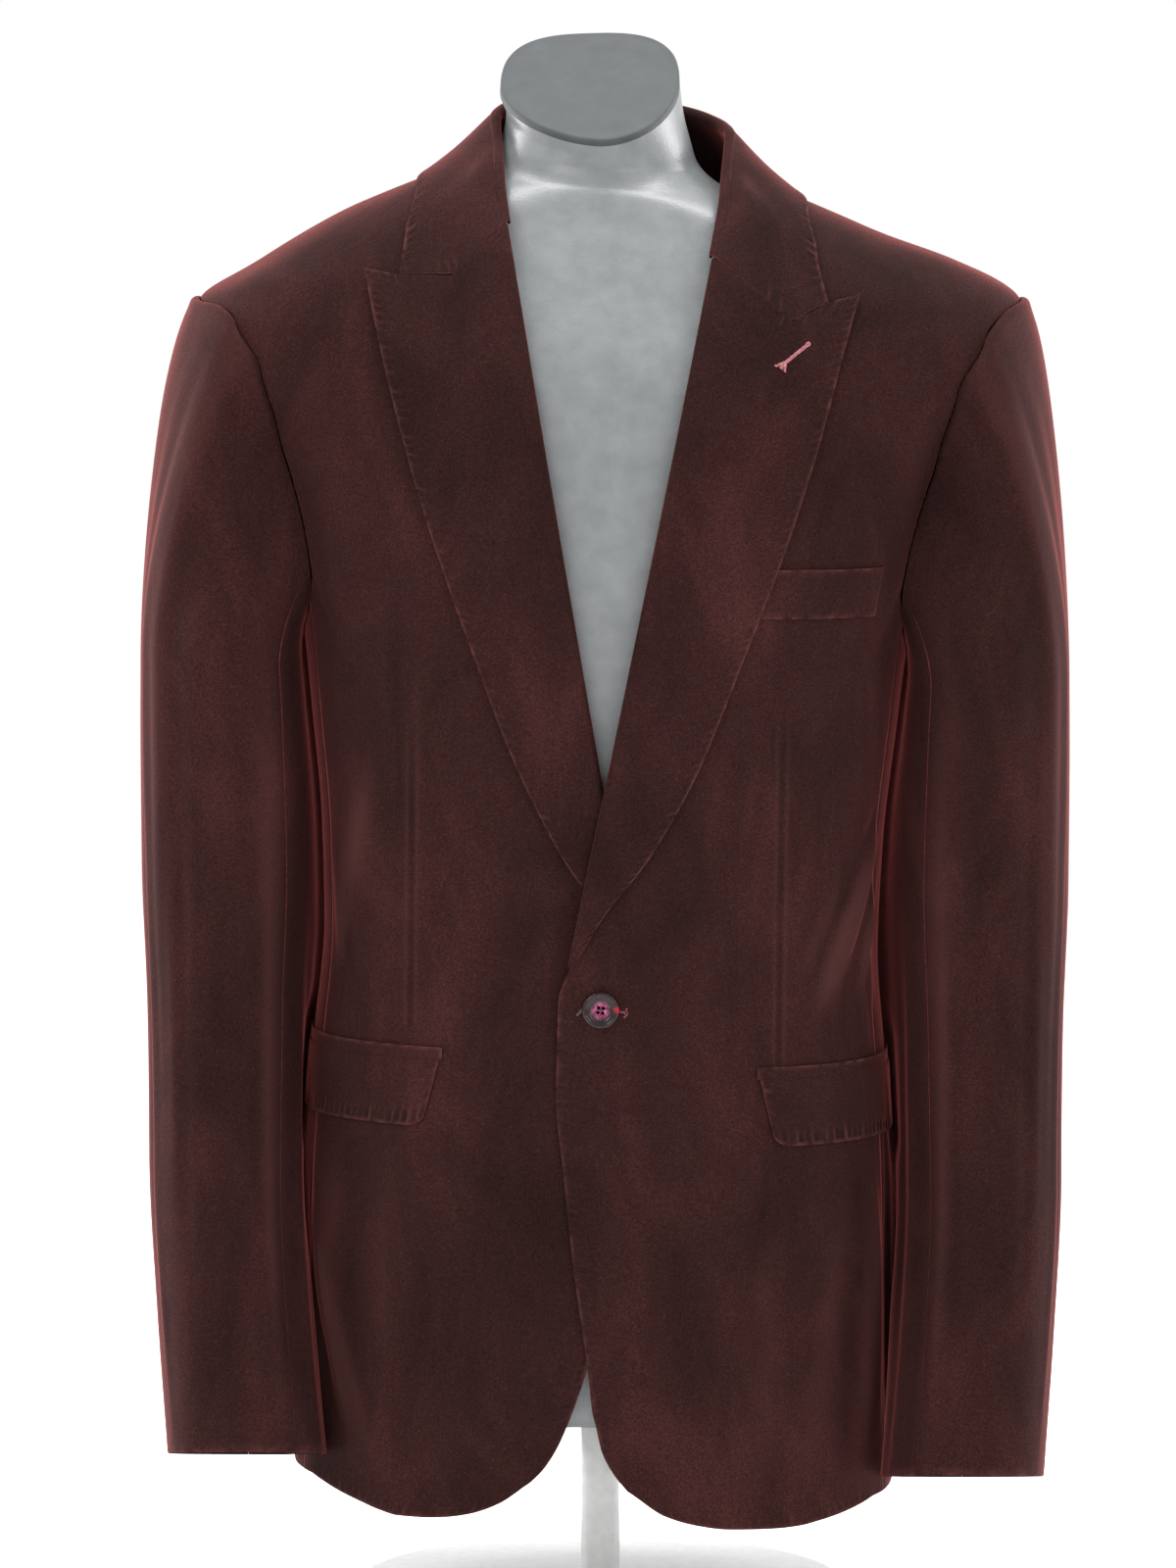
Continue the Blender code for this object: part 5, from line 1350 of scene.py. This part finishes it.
def lapel_profile(width, roll, centre, edge_out, places):
    """A lapel's section: round the roll line, then out along the leaf to its edge."""
    turns = np.radians(np.linspace(LAPEL_TURNS[0], LAPEL_TURNS[-1], 12))
    along = np.concatenate([roll + roll * np.cos(turns), roll + (width - roll) * places])
    share = np.clip(along[len(turns) :] / width, 0, 1)
    leaf_out = edge_out + (centre + roll - edge_out) * (1 - share) ** 1.5
    out = np.concatenate([centre + roll * np.sin(turns), leaf_out])
    facing = np.stack([np.cos(turns), np.sin(turns)], axis=-1)
    normal = np.concatenate([facing, np.tile([0.0, 1.0], (len(places), 1))])
    return along, out, normal


def lapel_places(side):
    """Places across a leaf, from its roll to its edge, with one at each corner of the gorge."""
    gorge = gorge_points(side)
    start, end, roll, centre = lapel_row(1.0, side)
    width = np.linalg.norm(end - start)
    corners = (gorge[:, 0] - gorge[0, 0]) / (gorge[3, 0] - gorge[0, 0])
    corners = np.concatenate([[0.0], (width * corners[1:] - roll) / (width - roll)])
    places = []
    for low, high, count in zip(corners, corners[1:], (24, 10, 12)):
        places += [low + (high - low) * (k + 1) / count for k in range(count)]
    places[-1:] = [1 - 0.008, 1.0]
    return np.array(places)


def make_lapel(name, side):
    shares = np.concatenate([np.linspace(0, 0.9985, 290), [1.0]])
    places = lapel_places(side)
    dip_shares, dip = gorge_dip(side, 3)
    outer, inner = [], []
    for share in shares:
        start, end, roll, centre = lapel_row(share, side)
        width = np.linalg.norm(end - start)
        roll = min(roll, width * 0.3)
        edge_out = min(LAPEL_GAP + LAPEL_WALL / 2, centre + roll)
        profile = lapel_profile(width, roll, centre, edge_out, places)
        fade = smoothstep(0.78, 1.0, share)
        row = turned_points(start, end, profile, (dip_shares, dip * fade), LAPEL_WALL, side)
        outer.append(row[0])
        inner.append(row[1])
    outer, inner = np.array(outer), np.array(inner)
    edge_relief, edge_shade = stitch_dimples(outer, "last_column", 0.5, 9.0, 41 + side)
    gorge_relief, gorge_shade = stitch_dimples(outer, "last_row", 0.4, 10.0, 51 + side, 0.3, 1.0)
    relief = np.minimum(edge_relief, gorge_relief)
    shade = np.where(np.abs(edge_shade) > np.abs(gorge_shade), edge_shade, gorge_shade)
    outer = outer + unit(outer - inner) * relief[..., None]
    return make_cloth(name, outer, inner, (("last_column", 0, 1), ("last_row", 0.85, 1)), shade, 0.35)


def make_collar(name):
    """The collar in one piece: stand, fold and leaf from one gorge round the neck to the other."""
    neck_angles = FRONT_NECK_ANGLES + BACK_NECK_ANGLES[1:]
    half = np.array([collar_section(angle) for angle in neck_angles])
    left_end, left_normal = collar_end(1)
    right_end, right_normal = collar_end(-1)
    left = np.concatenate([left_end[None], half])
    right = np.concatenate([right_end[None], half])
    left[-1, :, 0] = 0.0
    coarse = np.concatenate([left, mirrored(right[-2::-1], -1)])
    rows, columns = rimmed(330, 0.0012), rimmed(64, 0.008)
    middle = finer(coarse, rows, columns)
    normal = grid_normals(middle)
    facing = math.copysign(1, float(np.sum(normal[2, -8] * left_normal[-2])))
    normal = normal * facing
    relief, shade = stitch_dimples(middle, "last_column", 0.6, 10.0, 61)
    for edge, seed in (("first_row", 62), ("last_row", 63)):
        dents, tones = stitch_dimples(middle, edge, 0.42, 14.0, seed, 0.35, 1.0)
        shade = np.where(np.abs(shade) > np.abs(tones), shade, tones)
        relief = np.minimum(relief, dents)
    outer = middle + normal * (COLLAR_WALL / 2 + relief[..., None])
    inner = middle - normal * COLLAR_WALL / 2
    return make_cloth(name, outer, inner, (("last_column", 0, 1),), shade, 0.35)


# Pocket pieces


def make_flap(name, side):
    """A pocket flap with a rounded front corner, lying on the front and the side panel."""
    drop = rimmed(28, 0.03)[:, None]
    corner_columns = np.linspace(0, 0.08, 14)[:-1]
    across = np.concatenate([corner_columns, np.linspace(0.08, 0.995, 120), [1.0]])[None, :]
    front_x = FLAP_FRONT_TOP_X + (FLAP_FRONT_BOTTOM_X - FLAP_FRONT_TOP_X) * drop
    front_angle = angle_at(front_x, FLAP_TOP)
    angle = front_angle + (FLAP_BACK_ANGLE - front_angle) * across
    from_front = (angle - front_angle) * 2.0
    corner = FLAP_CORNER - np.clip(from_front, 0, FLAP_CORNER)
    bottom = FLAP_BOTTOM + FLAP_CORNER - np.sqrt(np.clip(FLAP_CORNER**2 - corner**2, 0, None))
    height = FLAP_TOP - (FLAP_TOP - bottom) * drop
    plain = body_point(angle * side, height, LAID_ON_GAP + FLAP_WALL)
    relief, shade = stitch_dimples(plain, "last_row", 0.9, 13.0, 71 + side)
    dents, tones = stitch_dimples(plain, "first_column", 0.5, 8.0, 81 + side)
    relief = np.minimum(relief, dents)
    shade = np.where(np.abs(shade) > np.abs(tones), shade, tones)
    outer = body_point(angle * side, height, LAID_ON_GAP + FLAP_WALL + relief)
    inner = body_point(angle * side, height, LAID_ON_GAP)
    return make_cloth(name, outer, inner, (("last_row", 0, 1), ("first_column", 0, 1)), shade)


def make_strip(name, side, low, high, inner_x, outer_angle, wall, columns, free_edges):
    """A flat strip on a front, such as a pocket jet or welt."""
    height = (low + (high - low) * rimmed(10, 0.06))[:, None]
    front_angle = angle_at(inner_x, height)
    angle = front_angle + (outer_angle - front_angle) * rimmed(columns, 0.008)[None, :]
    height = np.broadcast_to(height, angle.shape)
    outer = body_point(angle * side, height, LAID_ON_GAP + wall)
    inner = body_point(angle * side, height, LAID_ON_GAP)
    return make_cloth(name, outer, inner, free_edges)


# Sleeves

ROPE_RISE = 1.3
ROPE_WAY = 0.07
ROPE_HALF_WIDTH = 0.05


def make_sleeve_half(name, side, top_half):
    """The top or the under half of a two-piece sleeve, from the armhole to the cuff."""
    head = np.concatenate([[0.0, 0.008], np.linspace(0.02, 1, 54)])
    way = np.concatenate([head, np.linspace(1, 1.997, 104)[1:], [2.0]])[:, None]
    gap = math.degrees(SEAM_GAP / 2 / 48)
    if top_half:
        stations = ELBOW_SEAM - 360 + (FOREARM_SEAM_TOP - ELBOW_SEAM + 360) * rimmed(100, 0.006)
        shift = (stations - stations[0]) / (stations[-1] - stations[0])
    else:
        stations = FOREARM_SEAM_TOP + (ELBOW_SEAM - FOREARM_SEAM_TOP) * rimmed(44, 0.012)
        shift = (stations[-1] - stations) / (stations[-1] - stations[0])
    turn = stations[None, :] + shift[None, :] * (FOREARM_SEAM_CUFF - FOREARM_SEAM_TOP) * way / 2
    turn[:, 0] += gap
    turn[:, -1] -= gap
    over_shoulder = 1 - smoothstep(60, 110, np.abs((turn + 180) % 360 - 180))
    rope = ROPE_RISE * over_shoulder * np.exp(-(((way - ROPE_WAY) / ROPE_HALF_WIDTH) ** 2))
    outer = mirrored(sleeve_point(turn, way, rope, side), side)
    inner = mirrored(sleeve_point(turn, way, 0.5 * rope - CLOTH, side), side)
    # Painted light on the ridges of folds and painted shade in their troughs.
    shade = SLEEVE_FOLD_LIGHT_SHARE * fold_light_and_shade(sleeve_folds(turn, outer[..., 2] - HEM_ABOVE_FLOOR))
    return make_cloth(name, outer, inner, (("last_row", 0, 1),), shade)


# Button and sewing


def make_button(name):
    """A four-hole button with a raised rim, turned from its section and drilled."""
    radius, thickness = BUTTON_DIAMETER / 2, 4.2
    hole_radius, hole_offset, pattern_turn = 1.0, 1.9, 38
    section = [
        (0.0, 2.6), (2.0, 2.6), (4.2, 2.6), (5.6, 2.65), (6.4, 2.9), (7.0, 3.3), (7.8, 3.9), (8.4, 4.15),
        (8.8, thickness), (9.3, 4.1), (9.7, 3.8), (10.05, 3.35), (radius, 2.8), (radius - 0.1, 2.2),
        (radius - 0.4, 1.5), (9.0, 0.8), (8.0, 0.35), (6.0, 0.0), (0.0, 0.0),
    ]
    button = add_lathe(name, section, 72, [RESIN], BUTTON_SEAT, BUTTON_FACING)
    turned = BUTTON_FACING.to_track_quat("Z", "Y")
    for k in range(4):
        place = math.radians(pattern_turn + 90 * k)
        bpy.ops.mesh.primitive_cylinder_add(vertices=24, radius=hole_radius * MM, depth=14 * MM)
        cutter = bpy.context.object
        offset = Vector((hole_offset * math.cos(place), hole_offset * math.sin(place), 2.0))
        cutter.location = (Vector(BUTTON_SEAT) + turned @ offset) * MM
        cutter.rotation_euler = turned.to_euler()
        bpy.context.view_layer.update()
        drilled = button.modifiers.new("drilled", "BOOLEAN")
        drilled.object = cutter
        drilled.solver = "EXACT"
        graph = bpy.context.evaluated_depsgraph_get()
        mesh = bpy.data.meshes.new_from_object(button.evaluated_get(graph))
        button.modifiers.clear()
        button.data = mesh
        bpy.data.objects.remove(cutter, do_unlink=True)
    button.data.set_sharp_from_angle(angle=math.radians(40))
    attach(button, "root")
    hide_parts("front_button")


def make_stitch_tree():
    """Geometry Nodes: a path becomes a row of short thread stitches that lie on the cloth across it."""
    tree = bpy.data.node_groups.new("thread_stitches", "GeometryNodeTree")
    for socket_name, kind in (
        ("Path", "Geometry"), ("Spacing", "Float"), ("Stitch Length", "Float"), ("Thread Width", "Float"),
        ("Slant", "Float"), ("Seed", "Int"), ("Thread", "Material"),
    ):
        tree.interface.new_socket(socket_name, in_out="INPUT", socket_type=f"NodeSocket{kind}")
    tree.interface.new_socket("Stitches", in_out="OUTPUT", socket_type="NodeSocketGeometry")
    given = add_node(tree, "NodeGroupInput").outputs
    curve = add_node(tree, "GeometryNodeMeshToCurve", {"Mesh": given["Path"]}).outputs["Curve"]
    even = add_node(
        tree, "GeometryNodeResampleCurve", {"Curve": curve, "Length": given["Spacing"]}, mode="LENGTH"
    ).outputs["Curve"]
    bead = add_node(
        tree, "GeometryNodeMeshUVSphere", {"Segments": 10, "Rings": 7, "Radius": 0.5}
    ).outputs["Mesh"]
    off_cloth = add_node(
        tree, "GeometryNodeInputNamedAttribute", {"Name": "cloth_normal"}, data_type="FLOAT_VECTOR"
    ).outputs["Attribute"]
    standing = add_node(
        tree, "FunctionNodeAlignRotationToVector", {"Vector": off_cloth}, axis="Z"
    ).outputs["Rotation"]
    along = add_node(tree, "GeometryNodeInputTangent").outputs["Tangent"]
    turned = add_node(
        tree,
        "FunctionNodeAlignRotationToVector",
        {"Rotation": standing, "Vector": along},
        axis="X",
        pivot_axis="Z",
    ).outputs["Rotation"]
    uneven = add_node(
        tree, "FunctionNodeRandomValue", {2: 0.8, 3: 1.2, "Seed": given["Seed"]}, data_type="FLOAT"
    ).outputs[1]
    slant = add_node(
        tree, "ShaderNodeMath", {0: given["Slant"], 1: uneven}, operation="MULTIPLY"
    ).outputs["Value"]
    tilt = add_node(tree, "ShaderNodeCombineXYZ", {"Z": slant}).outputs["Vector"]
    lean = add_node(tree, "FunctionNodeEulerToRotation", {"Euler": tilt}).outputs["Rotation"]
    facing = add_node(
        tree, "FunctionNodeRotateRotation", {"Rotation": turned, "Rotate By": lean}, rotation_space="LOCAL"
    ).outputs["Rotation"]
    length = add_node(
        tree, "ShaderNodeMath", {0: given["Stitch Length"], 1: uneven}, operation="MULTIPLY"
    ).outputs["Value"]
    size = add_node(
        tree, "ShaderNodeCombineXYZ", {"X": given["Thread Width"], "Y": length, "Z": given["Thread Width"]}
    ).outputs["Vector"]
    placed = add_node(
        tree,
        "GeometryNodeInstanceOnPoints",
        {"Points": even, "Instance": bead, "Rotation": facing, "Scale": size},
    ).outputs["Instances"]
    real = add_node(tree, "GeometryNodeRealizeInstances", {"Geometry": placed}).outputs["Geometry"]
    smooth = add_node(tree, "GeometryNodeSetShadeSmooth", {"Geometry": real}).outputs["Geometry"]
    sewn = add_node(
        tree, "GeometryNodeSetMaterial", {"Geometry": smooth, "Material": given["Thread"]}
    ).outputs["Geometry"]
    add_node(tree, "NodeGroupOutput", {"Stitches": sewn})
    return tree


def sew(name, tree, cloth, path, spacing, stitch_length, thread_width, slant, seed, thread):
    """A row of stitches along a path of (x, height) points, laid on the cloth as seen from the front."""
    surface = BVHTree.FromObject(cloth, bpy.context.evaluated_depsgraph_get())
    places = np.array(path, float)
    steps = np.linspace(0, len(places) - 1, 8 * len(places))
    fine = np.stack([np.interp(steps, np.arange(len(places)), places[:, k]) for k in (0, 1)], axis=-1)
    corners, normals = [], []
    for x, _, z in hang(points(fine[:, 0], -120.0, fine[:, 1])) * MM:
        hit, normal, _, _ = surface.ray_cast(Vector((x, -1, z)), Vector((0, 1, 0)))
        corners.append(hit + normal * 0.1 * MM)
        normals.append(normal)
    mesh = bpy.data.meshes.new(name)
    mesh.from_pydata(corners, [(k, k + 1) for k in range(len(corners) - 1)], [])
    mark = mesh.attributes.new("cloth_normal", "FLOAT_VECTOR", "POINT")
    mark.data.foreach_set("vector", np.array(normals).ravel())
    piece = bpy.data.objects.new(name, mesh)
    bpy.context.scene.collection.objects.link(piece)
    sewing = piece.modifiers.new("sewing", "NODES")
    sewing.node_group = tree
    values = {
        "Spacing": spacing * MM, "Stitch Length": stitch_length * MM, "Thread Width": thread_width * MM,
        "Slant": slant, "Seed": seed, "Thread": thread,
    }
    for item in tree.interface.items_tree:
        if item.in_out == "INPUT" and item.name in values:
            sewing[item.identifier] = values[item.name]
    graph = bpy.context.evaluated_depsgraph_get()
    stitches = bpy.data.meshes.new_from_object(piece.evaluated_get(graph))
    piece.modifiers.clear()
    piece.data = stitches
    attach(piece, "root")
    return piece


# Rows of stitches: the cloth they lie on, their path in x and height, and how the stitches lie.
Sewing = namedtuple("Sewing", "name cloth path spacing length width slant thread")
SEWING = (
    Sewing(
        "flower_hole_upper_purl", "lapel_left", ((95.0, 650.8), (106.9, 660.5)), 0.66, 1.3, 0.52, 0.5, "pink",
    ),
    Sewing(
        "flower_hole_lower_purl", "lapel_left", ((95.6, 650.1), (107.5, 659.8)),
        0.66, 1.3, 0.52, -0.5, "pink",
    ),
    Sewing(
        "flower_hole_round_end", "lapel_left",
        ((106.9, 660.5), (107.4, 661.6), (108.5, 661.7), (108.9, 660.8), (108.3, 659.9), (107.5, 659.8)),
        0.5, 1.1, 0.5, 0.0, "pink",
    ),
    Sewing(
        "flower_hole_fan_upper", "lapel_left", ((95.0, 650.8), (90.2, 648.8)), 0.66, 1.7, 0.52, 0.5, "pink",
    ),
    Sewing(
        "flower_hole_fan_middle", "lapel_left", ((95.1, 650.2), (92.9, 647.6)), 0.66, 2.9, 0.52, 0.0, "pink",
    ),
    Sewing(
        "flower_hole_fan_lower", "lapel_left", ((95.6, 650.1), (95.2, 645.9)), 0.66, 1.7, 0.52, -0.5, "pink",
    ),
    Sewing("front_hole_purl", "front_left", ((9.9, 291.4), (13.0, 291.0)), 0.9, 1.8, 0.42, 0.5, "red"),
    Sewing(
        "front_hole_bar", "front_left", ((13.2, 288.6), (14.6, 290.4), (14.0, 292.9)),
        1.0, 1.7, 0.42, 0.5, "red",
    ),
    Sewing("front_hole_ends", "front_left", ((-10.4, 290.2), (-12.6, 287.2)), 0.9, 2.0, 0.45, 0.6, "grey"),
)


def sew_all(cloths):
    threads = {"pink": PINK_SILK, "red": RED_SILK, "grey": GREY_SILK}
    tree = make_stitch_tree()
    for seed, row in enumerate(SEWING):
        sew(
            row.name, tree, cloths[row.cloth], row.path, row.spacing, row.length, row.width, row.slant, seed,
            threads[row.thread],
        )


# Form and stand


def add_rings(name, rings, finishes):
    """A closed smooth solid through many rings of points, with a flat face at each end."""
    rows, count = rings.shape[:2]
    index = np.arange(rows * count).reshape(rows, count)
    nxt = np.roll(index, -1, axis=1)
    quads = np.stack([index[:-1], nxt[:-1], nxt[1:], index[1:]], axis=-1).reshape(-1, 4)
    centres = np.stack([rings[0].mean(axis=0), rings[-1].mean(axis=0)])
    vertices = np.concatenate([rings.reshape(-1, 3), centres])
    first, last = rows * count, rows * count + 1
    fans = [
        np.stack([np.full(count, first), nxt[0], index[0]], axis=-1),
        np.stack([np.full(count, last), index[-1], nxt[-1]], axis=-1),
    ]
    return add_piece(name, vertices, [quads, *fans], finishes)


def make_form():
    count = 128
    levels = (FORM_BOTTOM, 66, 120, 190, 260, 330, 400, 470, 530, 585, 625, 650, 668, 684, 700, 714, 725)
    rings = [form_ring(level, count) for level in levels]
    rings += [neck_ring(row, count) for row in FORM_NECK]
    rings[0] = rings[0] * np.array([0.985, 0.98, 0]) + np.array([0, 0, FORM_BOTTOM + HEM_ABOVE_FLOOR])
    rings = np.array(rings)
    fine = smooth_curve(np.arange(len(rings)), rings)(np.linspace(0, len(rings) - 1, 130))
    form = add_rings("form_torso_and_neck", fine, [FORM_SKIN])
    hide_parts("dress_form")
    steps = ((0, SEAM_GAP), (-0.1, 0.9), (-0.1, 2.2), (0.1, 3.0), (0.6, 3.6), (1.3, 4.0))
    steps += ((6.0, CAP_THICKNESS),)
    cap_rings = np.array([neck_ring(FORM_NECK[-1], count, inset, rise) for inset, rise in steps])
    cap = add_rings("form_neck_cap", cap_rings, [CAP_FACE])
    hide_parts("neck_cap")
    for piece in (form, cap):
        piece.data.set_sharp_from_angle(angle=math.radians(50))
        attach(piece, "root")


def make_stand():
    rim = BASE_RADIUS
    base_section = [(0.0, 0.0), (rim - 1.2, 0.0), (rim - 0.2, 0.6), (rim, 2.0), (rim, 7.6), (rim - 0.5, 9.0)]
    base_section += [(rim - 1.8, 9.8), (rim - 3.4, BASE_THICKNESS), (POLE_RADIUS, BASE_THICKNESS)]
    base_section += [(0.0, BASE_THICKNESS)]
    low, high = BASE_THICKNESS + SEAM_GAP, FORM_BOTTOM + HEM_ABOVE_FLOOR - SEAM_GAP
    pole_section = [(0.0, low), (POLE_RADIUS - 0.5, low), (POLE_RADIUS, low + 0.5)]
    pole_section += [(POLE_RADIUS, high - 0.5), (POLE_RADIUS - 0.5, high), (0.0, high)]
    for name, node, section, steps in (
        ("round_base", "stand_base", base_section, 128),
        ("stand_tube", "stand_pole", pole_section, 64),
    ):
        piece = add_lathe(name, section, steps, [ENAMEL])
        piece.data.set_sharp_from_angle(angle=math.radians(50))
        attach(piece, "root")
        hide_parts(node)


# Studio


Light = namedtuple("Light", "name place aim size power")
LIGHTS = (
    Light("key_left", (-1.6, -2.6, 2.1), (0, 0, 0.5), (1.4, 1.4), 26),
    Light("fill_right", (1.9, -2.3, 1.5), (0, 0, 0.5), (1.4, 1.4), 15),
    Light("rim_left", (-1.5, 0.7, 0.9), (0, 0, 0.5), (0.5, 1.6), 31),
    Light("rim_right", (1.5, 0.7, 0.9), (0, 0, 0.5), (0.5, 1.6), 26),
    Light("floor_wash", (0, 0.2, 2.6), (0, 1.3, 0.4), (2.4, 0.6), 60),
)
FLOOR_REACH = 3500
CAMERA_PLACE = (-0.007, -4.0, 0.837)
CAMERA_PITCH = 5.3
CAMERA_LENS = 163.6
CAMERA_SENSOR = 36


def add_light(name, place, aim, size, power):
    data = bpy.data.lights.new(name, "AREA")
    data.shape = "RECTANGLE"
    data.size, data.size_y = size
    data.energy = power
    light = bpy.data.objects.new(name, data)
    light.location = place
    light.rotation_euler = (Vector(aim) - Vector(place)).to_track_quat("-Z", "Y").to_euler()
    bpy.context.scene.collection.objects.link(light)


def make_studio():
    ends = (-FLOOR_REACH, FLOOR_REACH)
    rows = np.array([[(x, y, 0) for y in ends] for x in ends], float)
    ground = add_piece("studio_floor", rows.reshape(-1, 3), [grid_faces(2, 2)], [FLOOR])
    bpy.context.scene.view_settings.view_transform = "Standard"
    world = bpy.data.worlds.new("soft_studio")
    bpy.context.scene.world = world
    world.use_nodes = True
    backdrop = world.node_tree.nodes["Background"]
    backdrop.inputs["Color"].default_value = linear("#ffffff")
    backdrop.inputs["Strength"].default_value = 1.0
    for light in LIGHTS:
        add_light(*light)
    lens = bpy.data.cameras.new("photo_camera")
    lens.lens = CAMERA_LENS
    lens.sensor_width = CAMERA_SENSOR
    camera = bpy.data.objects.new("photo_camera", lens)
    camera.location = CAMERA_PLACE
    camera.rotation_euler = (math.radians(90 - CAMERA_PITCH), 0, 0)
    bpy.context.scene.collection.objects.link(camera)
    bpy.context.scene.camera = camera


def main():
    make_studio()
    cloths = {}
    for word, side in (("left", 1), ("right", -1)):
        cloths[f"front_{word}"] = make_front(f"front_{word}", side)
        make_side(f"side_{word}", side)
        make_back(f"back_{word}", side)
        cloths[f"lapel_{word}"] = make_lapel(f"lapel_{word}", side)
        make_sleeve_half(f"top_sleeve_{word}", side, True)
        make_sleeve_half(f"under_sleeve_{word}", side, False)
        make_flap(f"pocket_flap_{word}", side)
        jet_front = FLAP_FRONT_TOP_X - 1.5
        make_strip(
            f"pocket_jet_{word}", side, FLAP_TOP + SEAM_GAP, JET_TOP, jet_front, FLAP_BACK_ANGLE, JET_WALL,
            60, (("last_row", 0, 1), ("first_column", 0, 1)),
        )
    welt_outer_angle = float(angle_at(WELT_OUTER_X, WELT_BOTTOM))
    make_strip(
        "breast_welt", 1, WELT_BOTTOM, WELT_TOP, WELT_INNER_X, welt_outer_angle, WELT_WALL, 36,
        (("first_row", 0, 1), ("last_row", 0, 1), ("last_column", 0, 1)),
    )
    make_collar("collar")
    make_button("resin_button")
    sew_all(cloths)
    make_form()
    make_stand()


main()
